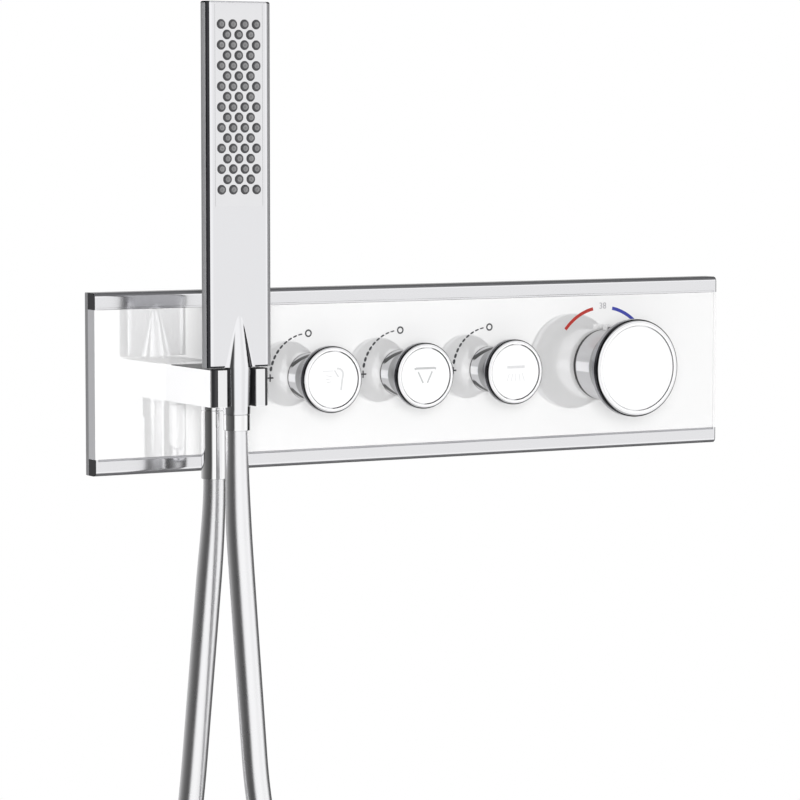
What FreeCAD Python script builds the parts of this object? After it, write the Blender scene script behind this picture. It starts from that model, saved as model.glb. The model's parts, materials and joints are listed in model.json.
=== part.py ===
import FreeCAD, Part
import math
import os

os.makedirs("parts", exist_ok=True)

Vector = FreeCAD.Vector
along_x = Vector(1, 0, 0)
along_y = Vector(0, 1, 0)
along_z = Vector(0, 0, 1)
full_turn = 360.0
parallel_share = 0.999

# Millimetres. The wall is the plane y = 0, the panel stands out of it towards -Y, +X runs along the
# panel to the right and +Z is up. The origin is the middle of the panel, on the wall.

# Allowances
overrun = 2.0
seat_gap = 0.1
running_gap = 0.08
moving_gap = 0.35

# Panel
panel_width = 493.0
panel_height = 120.0
panel_depth = 15.0
wall_gap = 0.5
rail_height = 11.0
rail_wall = 2.0
rail_edge_round = 2.2
rail_step_height = 1.2
rail_step_depth = 0.6
end_cap_thickness = 2.0
tongue_length = 8.0
glass_thickness = 5.0
glass_recess = 0.5
plate_thickness = 2.0
gasket_width = 6.0
gasket_margin = 1.0
hole_room = 0.5

# Mounting frame on the wall
frame_margin_x = 24.5
frame_margin_z = 16.0
frame_thickness = 4.0
frame_corner = 8.0
wall_screw_inset_x = 17.0
wall_screw_inset_z = 10.0
wall_screw_hole_radius = 3.0
boss_radius = 5.0
boss_pitch_z = 36.0

# Control axes, as shares of the panel's width: three measured from its middle, and the knobs' pitch
holder_share = 0.3535
first_knob_share = 0.1785
knob_pitch_share = 0.145
thermostat_share = 0.3022

# Volume valves: collar, cartridge, spindle
collar_radius = 16.0
collar_wall = 1.6
collar_length = 17.0
collar_thread_land = 1.3
collar_thread_length = 6.0
socket_wall = 2.4
cartridge_length = 48.0
cartridge_neck_wall = 3.0
cartridge_neck_length = 10.0
cartridge_nut_length = 8.0
cartridge_set_back = 7.0
spindle_radius = 4.0
spindle_inset = 15.0
push_rod_radius = 2.0
push_rod_inset = 20.0

# Volume knobs: turning ring, push button, spring
knob_front = 34.5
cap_radius = 22.4
cap_depth = 6.5
cap_bevel_width = 1.8
cap_bevel_depth = 1.3
cap_floor = 1.5
ring_neck_step = 0.4
ring_neck_wall = 2.0
ring_parting = 0.5
ring_web = 3.0
ring_web_back = 7.0
hub_wall = 1.4
hub_length = 8.0
button_radius = 19.0
button_recess = 0.2
button_thickness = 2.1
button_chamfer = 0.5
button_spring_radius = 8.4
button_spring_wall = 1.6

# Thermostat knob
thermostat_front = 45.0
thermostat_cap_radius = 34.1
thermostat_cap_depth = 8.0
thermostat_bevel_width = 2.3
thermostat_bevel_depth = 1.6
thermostat_skirt_radius = 27.3
thermostat_skirt_wall = 2.0
skirt_clearance = 0.4
skirt_groove_place = 23.5
skirt_groove_width = 1.0
skirt_groove_depth = 0.5
thermostat_face_radius = 29.7
thermostat_face_thickness = 3.0
thermostat_face_recess = 0.3
thermostat_web = 7.6
thermostat_hub_wall = 4.0
thermostat_hub_length = 16.0
thermostat_spindle_radius = 5.0
knob_screw_radius = 2.0
knob_screw_length = 14.0
knob_screw_head_radius = 3.5
knob_screw_head_height = 3.0
knob_screw_land = 2.0

# Safety button and its leaf spring in the skirt
safety_width = 5.0
safety_length = 6.0
safety_place = 2.5
safety_proud = 1.0
safety_flange = 1.0
leaf_thickness = 0.3
leaf_width = 4.0
leaf_share = 0.36

# Thermostat cartridge
thermostat_neck_radius = 20.0
thermostat_socket_wall = 4.0
clamp_ring_wall = 1.6
clamp_ring_length = 5.5
sleeve_length = 66.0
sleeve_neck_wall = 4.0
sleeve_wall = 4.9
sleeve_front_wall = 14.0
sleeve_end_wall = 4.0
sleeve_end_hole = 5.0
port_width = 8.0
port_length = 2.5
piston_length = 12.0
piston_place = 16.0
wax_radius = 4.5
wax_length = 30.0
wax_place = 4.0
thermostat_spindle_inset = 2.0
return_spring_radius = 9.4
return_spring_wall = 2.2

# Valve body in the wall
socket_radius = 17.0
socket_depth = 50.0
body_step = 4.0
thermostat_socket_radius = 24.0
thermostat_socket_depth = 64.0
gallery_radius = 12.0
gallery_depth = 34.0
inlet_pitch = 72.0
inlet_depth = 50.0
inlet_bar_radius = 11.5
inlet_cap_rise = 15.0
port_body_radius = 13.0
thread_radius = 9.3
thread_length = 15.0
union_corner_radius = 15.0
union_sides = 6
inlet_drop = 54.0
outlet_rise = 48.0
outlet_depth = 36.0
passage_radius = 8.0
lug_width = 16.0
lug_height = 64.0
lug_depth = 8.0
lug_web_width = 10.0
lug_web_height = 18.0
lug_screw_pitch = 50.0
body_screw_radius = 2.5
body_screw_length = 10.0
body_screw_head_radius = 4.5
body_screw_head_height = 2.4
check_valve_length = 14.0
check_valve_bore = 4.0
filter_length = 3.0
filter_wall = 0.8
arm_socket_radius = 14.0
arm_socket_depth = 48.0

# Holder arm and hose outlet
arm_width = 41.2
arm_height = 24.4
arm_front = 83.4
arm_edge_round = 4.5
shower_axis_y = -76.2
outlet_axis_y = -44.0
fork_room = 0.4
nipple_radius = 9.0
nipple_bore = 5.0
nipple_inset = 20.0
nipple_reach = 18.0
arm_gasket_thickness = 0.8
arm_gasket_margin = 1.4
grub_screw_radius = 2.0
grub_screw_length = 4.0
grub_place = 8.0
outlet_collar_radius = 8.6
outlet_collar_height = 4.8
outlet_spigot_radius = 6.5
outlet_spigot_length = 9.0
outlet_tail_radius = 5.6
outlet_tail_length = 12.0
outlet_bore = 3.4
outlet_valve_radius = 4.4
outlet_valve_length = 8.0

# Hand shower
shower_width = 48.8
shower_thickness = 9.4
shower_edge = 6.4
shower_bottom = 13.4
shower_top = 248.5
shower_wall = 1.2
neck_top = 47.0
neck_top_radius = 4.4
neck_wide_radius = 9.7
neck_end_radius = 8.8
neck_end = -17.4
neck_bore = 6.2
spray_width = 34.0
spray_bottom = 117.0
spray_top = 246.0
spray_thickness = 1.4
nozzle_rows = 17
nozzle_row_pitch = 6.6
nozzle_column_pitch = 8.4
nozzle_top = 233.3
nozzle_radius = 3.15
nozzle_tip_radius = 2.5
nozzle_height = 1.0
nozzle_sides = 8
chamber_depth = 5.6
chamber_wall = 0.9
chamber_inset = 1.5
chamber_inlet_radius = 1.3
waterway_radius = 2.9
waterway_wall = 0.7
waterway_bottom = 26.0
limiter_length = 6.0
limiter_bore = 1.8

# Hose and its end nuts
hose_radius = 8.4
lower_nut_radius = 8.6
lower_nut_end = -62.0
lower_nut_bore = 5.0
nut_chamfer = 0.4
upper_nut_radius = 8.6
upper_nut_end = -27.8
upper_nut_spigot_length = 10.0
upper_nut_bore = 4.0
bend_share = 0.45

# Places worked out from the sizes above
half_width = panel_width / 2
half_height = panel_height / 2
holder_x = -holder_share * panel_width
first_knob_x = -first_knob_share * panel_width
knob_pitch = knob_pitch_share * panel_width
thermostat_x = thermostat_share * panel_width
front_y = -panel_depth
rail_back_y = -wall_gap
glass_y = front_y + glass_recess
glass_back_y = glass_y + glass_thickness
plate_back_y = glass_back_y + plate_thickness
rail_end_x = half_width - end_cap_thickness
rail_inner_z = half_height - rail_height
frame_front_y = -frame_thickness
frame_width = panel_width - 2 * frame_margin_x
frame_height = panel_height - 2 * frame_margin_z
wall_screw_pitch_x = frame_width - 2 * wall_screw_inset_x
wall_screw_pitch_z = frame_height - 2 * wall_screw_inset_z

socket_neck_radius = collar_radius - collar_wall - collar_thread_land
cartridge_radius = socket_neck_radius - socket_wall
socket_front_y = front_y - collar_thread_length
cartridge_front_y = front_y + cartridge_set_back
cartridge_back_y = cartridge_front_y + cartridge_length
cartridge_neck_radius = spindle_radius + cartridge_neck_wall
thermostat_bore_radius = thermostat_neck_radius - thermostat_socket_wall
sleeve_radius = thermostat_bore_radius - seat_gap
sleeve_back_y = cartridge_front_y + sleeve_length
sleeve_bore = sleeve_radius - sleeve_wall
sleeve_chamber_y = cartridge_front_y + sleeve_front_wall
sleeve_end_y = sleeve_back_y - sleeve_end_wall
sleeve_neck_radius = thermostat_spindle_radius + sleeve_neck_wall

knob_xs = {
    "hand": first_knob_x,
    "spout": first_knob_x + knob_pitch,
    "rain": first_knob_x + 2 * knob_pitch,
}


def out(distance):
    # Y of a plane this far in front of the panel
    return front_y - distance


def box(x0, x1, y0, y1, z0, z1):
    return Part.makeBox(x1 - x0, y1 - y0, z1 - z0, Vector(x0, y0, z0))


def rod_x(y, z, radius, x0, x1):
    return Part.makeCylinder(radius, x1 - x0, Vector(x0, y, z), along_x)


def rod_y(x, z, radius, y0, y1):
    return Part.makeCylinder(radius, y1 - y0, Vector(x, y0, z), along_y)


def rod_z(x, y, radius, z0, z1):
    return Part.makeCylinder(radius, z1 - z0, Vector(x, y, z0), along_z)


def bar_x(section, x0, x1):
    # Straight bar along X with a section of (y, z) points
    corners = [Vector(x0, y, z) for y, z in section]
    face = Part.Face(Part.makePolygon(corners + corners[:1]))
    return face.extrude(Vector(x1 - x0, 0, 0))


def revolved(corners, centre, axis):
    face = Part.Face(Part.makePolygon(corners + corners[:1]))
    body = face.revolve(centre, axis, full_turn)
    if body.Volume < 0:
        body.reverse()
    return body


def turned_y(outline, x, z=0):
    # Turned piece on a line along Y, from an outline of (radius, y) points
    return revolved([Vector(x + radius, y, z) for radius, y in outline], Vector(x, 0, z), along_y)


def turned_z(outline, x, y):
    # Turned piece on a line along Z, from an outline of (radius, z) points
    return revolved([Vector(x + radius, y, z) for radius, z in outline], Vector(x, y, 0), along_z)


def sleeve_y(x, outer, inner, y0, y1):
    return turned_y([(inner, y0), (outer, y0), (outer, y1), (inner, y1)], x)


def cut_all(body, tools):
    for tool in tools:
        body = body.cut(tool)
    return body


def edges_along(shape, direction):
    found = []
    for edge in shape.Edges:
        if isinstance(edge.Curve, Part.Line):
            if abs(edge.tangentAt(edge.FirstParameter).dot(direction)) > parallel_share:
                found.append(edge)
    return found


def keep(name, *shapes):
    # Writes one node; a group of like pieces keeps them as separate solids
    solids = [solid for shape in shapes for solid in shape.Solids]
    bad = [solid for solid in solids if not solid.isValid() or solid.Volume <= 0]
    print(name, len(solids), "solids", round(sum(solid.Volume for solid in solids)), "mm3", "BAD" if bad else "")
    whole = solids[0] if len(solids) == 1 else Part.makeCompound(solids)
    whole.exportStep("parts/" + name + ".step")


# Panel


def front_corners(body):
    # The long edges at the panel's two front corners
    found = []
    for edge in edges_along(body, along_x):
        middle = edge.CenterOfMass
        if abs(middle.y - front_y) < seat_gap and half_height - abs(middle.z) < seat_gap:
            found.append(edge)
    return found


def rail(side):
    # Hollow rail along one long edge: side is 1 at the top and -1 at the bottom
    section = [
        (front_y + rail_step_depth, rail_inner_z),
        (front_y + rail_step_depth, rail_inner_z + rail_step_height),
        (front_y, rail_inner_z + rail_step_height),
        (front_y, half_height),
        (rail_back_y, half_height),
        (rail_back_y, half_height - rail_wall),
        (front_y + rail_wall, half_height - rail_wall),
        (front_y + rail_wall, rail_inner_z + rail_wall),
        (glass_back_y, rail_inner_z + rail_wall),
        (glass_back_y, rail_inner_z),
    ]
    body = bar_x([(y, side * z) for y, z in section], -rail_end_x, rail_end_x)
    return body.makeFillet(rail_edge_round, front_corners(body))


def end_cap(side):
    # Plate that closes one end, with a tongue into the hollow of each rail
    outer_x = side * half_width
    inner_x = side * rail_end_x
    tongue_x = inner_x - side * tongue_length
    body = box(min(inner_x, outer_x), max(inner_x, outer_x), front_y, rail_back_y, -half_height, half_height)
    body = body.makeFillet(rail_edge_round, front_corners(body))
    tongue_low = rail_inner_z + rail_wall + seat_gap
    tongue_high = half_height - rail_wall - seat_gap
    tongue_front = front_y + rail_wall + seat_gap
    tongue_back = glass_back_y - seat_gap
    for z0, z1 in ((tongue_low, tongue_high), (-tongue_high, -tongue_low)):
        tongue = box(min(tongue_x, inner_x), max(tongue_x, inner_x), tongue_front, tongue_back, z0, z1)
        body = body.fuse(tongue)
    return body.removeSplitter()


def control_holes(y0, y1):
    # Holes for the four valve necks and the arm's nipple, through a sheet between two planes
    sizes = [(x, socket_neck_radius) for x in knob_xs.values()]
    sizes.append((thermostat_x, thermostat_neck_radius))
    sizes.append((holder_x, nipple_radius))
    return [rod_y(x, 0, radius + hole_room, y0 - overrun, y1 + overrun) for x, radius in sizes]


def front_panel():
    edge_z = rail_inner_z - seat_gap
    edge_x = rail_end_x - seat_gap
    sheet = box(-edge_x, edge_x, glass_y, glass_back_y, -edge_z, edge_z)
    return cut_all(sheet, control_holes(glass_y, glass_back_y))


def carrier_plate():
    edge_z = half_height - rail_wall - seat_gap
    edge_x = rail_end_x - seat_gap
    sheet = box(-edge_x, edge_x, glass_back_y, plate_back_y, -edge_z, edge_z)
    return cut_all(sheet, control_holes(glass_back_y, plate_back_y))


def wall_gasket():
    edge_z = half_height - rail_wall - gasket_margin
    edge_x = rail_end_x - gasket_margin
    inner_z = edge_z - gasket_width
    inner_x = edge_x - gasket_width
    ring = box(-edge_x, edge_x, plate_back_y, 0, -edge_z, edge_z)
    return ring.cut(box(-inner_x, inner_x, plate_back_y - overrun, overrun, -inner_z, inner_z))


def lug_xs():
    # The valve body is screwed to the frame half way between neighbouring sockets
    beside_arm = (holder_x + knob_xs["hand"]) / 2
    between_knobs = (knob_xs["spout"] + knob_xs["rain"]) / 2
    beside_thermostat = (knob_xs["rain"] + thermostat_x) / 2
    return [beside_arm, between_knobs, beside_thermostat]


def body_screw_places():
    return [(x, side * lug_screw_pitch / 2) for x in lug_xs() for side in (-1, 1)]


def mounting_frame():
    half_x = frame_width / 2
    half_z = frame_height / 2
    body = box(-half_x, half_x, frame_front_y, 0, -half_z, half_z)
    body = body.makeFillet(frame_corner, edges_along(body, along_y))
    wall_places = [(i * wall_screw_pitch_x / 2, j * wall_screw_pitch_z / 2) for i in (-1, 1) for j in (-1, 1)]
    for x, z in wall_places:
        boss_z = math.copysign(boss_pitch_z / 2, z)
        body = body.fuse(rod_y(x, boss_z, boss_radius, plate_back_y, frame_front_y))
    tools = control_holes(frame_front_y, 0)
    for x, z in wall_places:
        tools.append(rod_y(x, z, wall_screw_hole_radius, frame_front_y - overrun, overrun))
    for x, z in body_screw_places():
        tools.append(rod_y(x, z, body_screw_radius + seat_gap, frame_front_y - overrun, overrun))
    return cut_all(body, tools)


def body_screws():
    screws = []
    for x, z in body_screw_places():
        outline = [
            (0, frame_front_y - body_screw_head_height),
            (body_screw_head_radius, frame_front_y - body_screw_head_height),
            (body_screw_head_radius, frame_front_y),
            (body_screw_radius, frame_front_y),
            (body_screw_radius, frame_front_y + body_screw_length),
            (0, frame_front_y + body_screw_length),
        ]
        screws.append(turned_y(outline, x, z))
    return screws


# Valve body and what is inside it


def inlet_xs():
    return [thermostat_x - inlet_pitch / 2, thermostat_x + inlet_pitch / 2]


def valve_body():
    # Brass casting: one gallery with a socket for each valve, ports down and up, and lugs to the frame
    body = rod_x(gallery_depth, 0, gallery_radius, holder_x, thermostat_x)
    for x in knob_xs.values():
        body = body.fuse(rod_y(x, 0, socket_radius, body_step, socket_depth))
        body = body.fuse(rod_y(x, 0, socket_neck_radius, socket_front_y, body_step))
    body = body.fuse(rod_y(thermostat_x, 0, thermostat_socket_radius, body_step, thermostat_socket_depth))
    body = body.fuse(rod_y(thermostat_x, 0, thermostat_neck_radius, socket_front_y, body_step))
    body = body.fuse(rod_y(holder_x, 0, arm_socket_radius, body_step, arm_socket_depth))
    first_inlet, last_inlet = inlet_xs()
    body = body.fuse(rod_x(inlet_depth, 0, inlet_bar_radius, first_inlet, last_inlet))
    for x in inlet_xs():
        body = body.fuse(rod_z(x, inlet_depth, port_body_radius, thread_length - inlet_drop, inlet_cap_rise))
    for x in outlet_xs():
        body = body.fuse(rod_z(x, outlet_depth, port_body_radius, 0, outlet_rise - thread_length))
    half_lug = lug_width / 2
    half_web = lug_web_width / 2
    web_z = lug_web_height / 2
    for x in lug_xs():
        body = body.fuse(box(x - half_lug, x + half_lug, 0, lug_depth, -lug_height / 2, lug_height / 2))
        body = body.fuse(box(x - half_web, x + half_web, 0, gallery_depth, -web_z, web_z))
    tools = []
    for x in knob_xs.values():
        tools.append(rod_y(x, 0, cartridge_radius + seat_gap, socket_front_y - overrun, cartridge_back_y))
    tools.append(rod_y(thermostat_x, 0, thermostat_bore_radius, socket_front_y - overrun, sleeve_back_y))
    tools.append(rod_y(holder_x, 0, nipple_radius + seat_gap, -overrun, nipple_inset))
    for x in inlet_xs():
        tools.append(rod_z(x, inlet_depth, passage_radius, -inlet_drop, inlet_top()))
    for x in outlet_xs():
        tools.append(rod_z(x, outlet_depth, passage_radius, 0, outlet_rise))
    for x, z in body_screw_places():
        tools.append(rod_y(x, z, body_screw_radius + seat_gap, -overrun, lug_depth + overrun))
    return cut_all(body, tools).removeSplitter()


def outlet_xs():
    return [knob_xs["spout"], knob_xs["rain"]]


def port_union(x, y, z0, z1):
    # Six-sided union on a port, with the bore of its pipe thread
    angles = [2 * math.pi * side / union_sides for side in range(union_sides)]
    corners = [
        Vector(x + union_corner_radius * math.cos(angle), y + union_corner_radius * math.sin(angle), z0)
        for angle in angles
    ]
    face = Part.Face(Part.makePolygon(corners + corners[:1]))
    return face.extrude(Vector(0, 0, z1 - z0)).cut(rod_z(x, y, thread_radius, z0 - overrun, z1 + overrun))


def port_unions():
    inlets = [port_union(x, inlet_depth, -inlet_drop, thread_length - inlet_drop) for x in inlet_xs()]
    outlets = [port_union(x, outlet_depth, outlet_rise - thread_length, outlet_rise) for x in outlet_xs()]
    return inlets + outlets


def inlet_top():
    # Upper end of the passage that holds the filter and the check valve
    return thread_length - inlet_drop + filter_length + check_valve_length


def inlet_filters():
    cups = []
    start = thread_length - inlet_drop
    outer = passage_radius - seat_gap
    for x in inlet_xs():
        outline = [
            (0, start + filter_length - filter_wall),
            (outer - filter_wall, start + filter_length - filter_wall),
            (outer - filter_wall, start),
            (outer, start),
            (outer, start + filter_length),
            (0, start + filter_length),
        ]
        cups.append(turned_z(outline, x, inlet_depth))
    return cups


def inlet_check_valves():
    start = thread_length - inlet_drop + filter_length
    outer = passage_radius - seat_gap
    valves = []
    for x in inlet_xs():
        body = rod_z(x, inlet_depth, outer, start, start + check_valve_length)
        bore = rod_z(x, inlet_depth, check_valve_bore, start - overrun, start + check_valve_length / 2)
        valves.append(body.cut(bore))
    return valves


def volume_cartridge(x):
    bore = spindle_radius + running_gap
    neck_y = cartridge_front_y - cartridge_neck_length
    outline = [
        (bore, neck_y),
        (cartridge_neck_radius, neck_y),
        (cartridge_neck_radius, cartridge_front_y),
        (cartridge_radius, cartridge_front_y),
        (cartridge_radius, cartridge_back_y),
        (bore, cartridge_back_y),
    ]
    return turned_y(outline, x)


def cartridge_nut(x):
    inner = cartridge_neck_radius + seat_gap
    return sleeve_y(x, cartridge_radius, inner, cartridge_front_y - cartridge_nut_length, cartridge_front_y)


def knob_collar(x):
    # Threaded sleeve that clamps the panel and covers the valve's neck
    thread = socket_neck_radius + seat_gap
    inner = collar_radius - collar_wall
    outline = [
        (thread, glass_y),
        (collar_radius, glass_y),
        (collar_radius, out(collar_length)),
        (inner, out(collar_length)),
        (inner, socket_front_y),
        (thread, socket_front_y),
    ]
    return turned_y(outline, x)


# Volume knobs

cap_back = knob_front - cap_depth
pocket_floor = cap_back + cap_floor
ring_neck_radius = collar_radius - ring_neck_step
ring_bore = spindle_radius + seat_gap
web_back = cap_back - ring_web_back
web_front = web_back + ring_web
hub_back = web_front - hub_length / 2
hub_front = hub_back + hub_length
button_front = knob_front - button_recess
button_back = button_front - button_thickness


def volume_ring(x):
    # Turning ring: bevelled rim, pocket for the button, recess for its spring, splined hub
    neck_inner = ring_neck_radius - ring_neck_wall
    neck_start = collar_length + ring_parting
    pocket = button_radius + moving_gap
    recess = button_spring_radius + moving_gap
    hub = ring_bore + hub_wall
    outline = [
        (neck_inner, out(neck_start)),
        (ring_neck_radius, out(neck_start)),
        (ring_neck_radius, out(cap_back)),
        (cap_radius, out(cap_back)),
        (cap_radius, out(knob_front - cap_bevel_depth)),
        (cap_radius - cap_bevel_width, out(knob_front)),
        (pocket, out(knob_front)),
        (pocket, out(pocket_floor)),
        (recess, out(pocket_floor)),
        (recess, out(web_front)),
        (hub, out(web_front)),
        (hub, out(hub_front)),
        (ring_bore, out(hub_front)),
        (ring_bore, out(hub_back)),
        (hub, out(hub_back)),
        (hub, out(web_back)),
        (neck_inner, out(web_back)),
    ]
    return turned_y(outline, x)


def volume_spindle(x):
    # Hollow spindle from the cartridge to the ring's hub, with the push rod inside
    inner = push_rod_radius + running_gap
    return sleeve_y(x, spindle_radius, inner, out(hub_front), cartridge_back_y - spindle_inset)


def volume_button(x):
    outline = [
        (0, out(button_back)),
        (button_radius, out(button_back)),
        (button_radius, out(button_front - button_chamfer)),
        (button_radius - button_chamfer, out(button_front)),
        (0, out(button_front)),
    ]
    return turned_y(outline, x)


def push_rod(x):
    return rod_y(x, 0, push_rod_radius, out(button_back), cartridge_back_y - push_rod_inset)


def button_spring(x):
    inner = button_spring_radius - button_spring_wall
    return sleeve_y(x, button_spring_radius, inner, out(button_back), out(web_front))


# Thermostat knob

thermostat_cap_back = thermostat_front - thermostat_cap_depth
face_front = thermostat_front - thermostat_face_recess
face_back = face_front - thermostat_face_thickness
knob_web_back = face_back - thermostat_web
screw_seat = face_back - knob_screw_head_height - moving_gap
spindle_end = screw_seat - knob_screw_land
skirt_inner = thermostat_skirt_radius - thermostat_skirt_wall


def thermostat_knob():
    # Knob and skirt in one turned piece, with a slot on top for the safety button
    pocket = thermostat_face_radius + seat_gap
    head = knob_screw_head_radius + moving_gap
    shank = knob_screw_radius + seat_gap
    bore = thermostat_spindle_radius + seat_gap
    hub = bore + thermostat_hub_wall
    groove_radius = thermostat_skirt_radius - skirt_groove_depth
    outline = [
        (skirt_inner, out(skirt_clearance)),
        (thermostat_skirt_radius, out(skirt_clearance)),
        (thermostat_skirt_radius, out(skirt_groove_place)),
        (groove_radius, out(skirt_groove_place)),
        (groove_radius, out(skirt_groove_place + skirt_groove_width)),
        (thermostat_skirt_radius, out(skirt_groove_place + skirt_groove_width)),
        (thermostat_skirt_radius, out(thermostat_cap_back)),
        (thermostat_cap_radius, out(thermostat_cap_back)),
        (thermostat_cap_radius, out(thermostat_front - thermostat_bevel_depth)),
        (thermostat_cap_radius - thermostat_bevel_width, out(thermostat_front)),
        (pocket, out(thermostat_front)),
        (pocket, out(face_back)),
        (head, out(face_back)),
        (head, out(screw_seat)),
        (shank, out(screw_seat)),
        (shank, out(spindle_end)),
        (bore, out(spindle_end)),
        (bore, out(spindle_end - thermostat_hub_length)),
        (hub, out(spindle_end - thermostat_hub_length)),
        (hub, out(knob_web_back)),
        (skirt_inner, out(knob_web_back)),
    ]
    body = turned_y(outline, thermostat_x)
    half_slot = safety_width / 2 + moving_gap
    slot_front = out(safety_place + safety_length + moving_gap)
    slot_back = out(safety_place - moving_gap)
    slot = box(thermostat_x - half_slot, thermostat_x + half_slot, slot_front, slot_back,
               skirt_inner - thermostat_skirt_wall, thermostat_skirt_radius + overrun)
    return body.cut(slot)


def thermostat_face():
    outline = [
        (0, out(face_back)),
        (thermostat_face_radius, out(face_back)),
        (thermostat_face_radius, out(face_front - button_chamfer)),
        (thermostat_face_radius - button_chamfer, out(face_front)),
        (0, out(face_front)),
    ]
    return turned_y(outline, thermostat_x)


def knob_screw():
    outline = [
        (0, out(screw_seat + knob_screw_head_height)),
        (knob_screw_head_radius, out(screw_seat + knob_screw_head_height)),
        (knob_screw_head_radius, out(screw_seat)),
        (knob_screw_radius, out(screw_seat)),
        (knob_screw_radius, out(screw_seat - knob_screw_length)),
        (0, out(screw_seat - knob_screw_length)),
    ]
    return turned_y(outline, thermostat_x)


def thermostat_spindle():
    hole = knob_screw_radius + seat_gap
    inner_end = sleeve_chamber_y + thermostat_spindle_inset
    hole_end = out(screw_seat - knob_screw_length) + moving_gap
    outline = [
        (hole, out(spindle_end)),
        (thermostat_spindle_radius, out(spindle_end)),
        (thermostat_spindle_radius, inner_end),
        (0, inner_end),
        (0, hole_end),
        (hole, hole_end),
    ]
    return turned_y(outline, thermostat_x)


leaf_half = skirt_inner * leaf_share
leaf_top = math.sqrt(skirt_inner**2 - leaf_half**2) - seat_gap


def safety_button():
    # White button through the skirt's slot, held by a flange inside the skirt
    half = safety_width / 2
    y0 = out(safety_place + safety_length)
    y1 = out(safety_place)
    top = thermostat_skirt_radius + safety_proud
    stem = box(thermostat_x - half, thermostat_x + half, y0, y1, leaf_top, top)
    stem = stem.makeFillet(button_chamfer, edges_along(stem, along_z))
    wide = half + safety_flange
    flange_top = math.sqrt(skirt_inner**2 - wide**2) - seat_gap
    flange = box(thermostat_x - wide, thermostat_x + wide, y0, y1, leaf_top, flange_top)
    return stem.fuse(flange).removeSplitter()


def safety_spring():
    middle = out(safety_place + safety_length / 2)
    half = leaf_width / 2
    return box(thermostat_x - leaf_half, thermostat_x + leaf_half, middle - half, middle + half,
               leaf_top - leaf_thickness, leaf_top)


# Thermostat cartridge


def clamp_ring():
    inner = thermostat_neck_radius + seat_gap
    return sleeve_y(thermostat_x, inner + clamp_ring_wall, inner, glass_y - clamp_ring_length, glass_y)


def thermostat_sleeve():
    # Cartridge housing: spindle bore, mixing chamber, outlet hole and two pairs of water ports
    bore = thermostat_spindle_radius + running_gap
    neck_y = cartridge_front_y - cartridge_neck_length
    outline = [
        (bore, neck_y),
        (sleeve_neck_radius, neck_y),
        (sleeve_neck_radius, cartridge_front_y),
        (sleeve_radius, cartridge_front_y),
        (sleeve_radius, sleeve_back_y),
        (sleeve_end_hole, sleeve_back_y),
        (sleeve_end_hole, sleeve_end_y),
        (sleeve_bore, sleeve_end_y),
        (sleeve_bore, sleeve_chamber_y),
        (bore, sleeve_chamber_y),
    ]
    body = turned_y(outline, thermostat_x)
    reach = sleeve_radius + overrun
    half = port_width / 2
    for y in (piston_front_y(), piston_front_y() + piston_length - port_length):
        body = body.cut(box(thermostat_x - reach, thermostat_x + reach, y, y + port_length, -half, half))
    return body


def thermostat_nut():
    inner = sleeve_neck_radius + seat_gap
    front = cartridge_front_y - cartridge_nut_length
    return sleeve_y(thermostat_x, sleeve_radius, inner, front, cartridge_front_y)


def piston_front_y():
    return sleeve_chamber_y + piston_place


def mixing_piston():
    inner = wax_radius + seat_gap
    outer = sleeve_bore - running_gap
    return sleeve_y(thermostat_x, outer, inner, piston_front_y(), piston_front_y() + piston_length)


def wax_element():
    start = sleeve_chamber_y + wax_place
    return rod_y(thermostat_x, 0, wax_radius, start, start + wax_length)


def return_spring():
    inner = return_spring_radius - return_spring_wall
    return sleeve_y(thermostat_x, return_spring_radius, inner, piston_front_y() + piston_length, sleeve_end_y)


# Holder arm, outlet and lower hose nut

arm_front_y = -arm_front
arm_half = arm_width / 2
arm_bottom = -arm_height / 2
arm_top = arm_height / 2
nipple_front_y = glass_y - nipple_reach


def neck_radius_at(z):
    # The neck tapers evenly from the bar's foot to its own end
    share = (shower_bottom - z) / (shower_bottom - neck_end)
    return neck_wide_radius + share * (neck_end_radius - neck_wide_radius)


def holder_arm():
    # Square arm with a fork for the shower's tapered neck and a waterway down to the hose outlet
    body = box(holder_x - arm_half, holder_x + arm_half, arm_front_y, glass_y, arm_bottom, arm_top)
    front_edges = [edge for edge in edges_along(body, along_z) if edge.CenterOfMass.y < shower_axis_y]
    body = body.makeFillet(arm_edge_round, front_edges)
    low = arm_bottom - overrun
    high = arm_top + overrun
    low_radius = neck_radius_at(low) + fork_room
    high_radius = neck_radius_at(high) + fork_room
    seat = turned_z([(0, low), (low_radius, low), (high_radius, high), (0, high)], holder_x, shower_axis_y)
    mouth = box(holder_x - high_radius, holder_x + high_radius, arm_front_y - overrun, shower_axis_y, low, high)
    gasket_z = arm_top - arm_gasket_margin
    gasket_x = arm_half - arm_gasket_margin
    tools = [
        seat,
        mouth,
        rod_y(holder_x, 0, nipple_radius + seat_gap, nipple_front_y, glass_y + overrun),
        rod_y(holder_x, 0, nipple_bore, outlet_axis_y, nipple_front_y + overrun),
        rod_z(holder_x, outlet_axis_y, outlet_spigot_radius + seat_gap, low, arm_bottom + outlet_spigot_length),
        rod_z(holder_x, outlet_axis_y, nipple_bore, arm_bottom, nipple_bore),
        rod_z(holder_x, grub_axis_y(), grub_screw_radius + seat_gap, low, -nipple_radius),
        box(holder_x - gasket_x, holder_x + gasket_x, glass_y - arm_gasket_thickness, glass_y + overrun,
            -gasket_z, gasket_z),
    ]
    return cut_all(body, tools)


def grub_axis_y():
    return glass_y - grub_place


def arm_grub_screw():
    top = -nipple_radius - seat_gap
    return rod_z(holder_x, grub_axis_y(), grub_screw_radius, top - grub_screw_length / 2, top)


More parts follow.
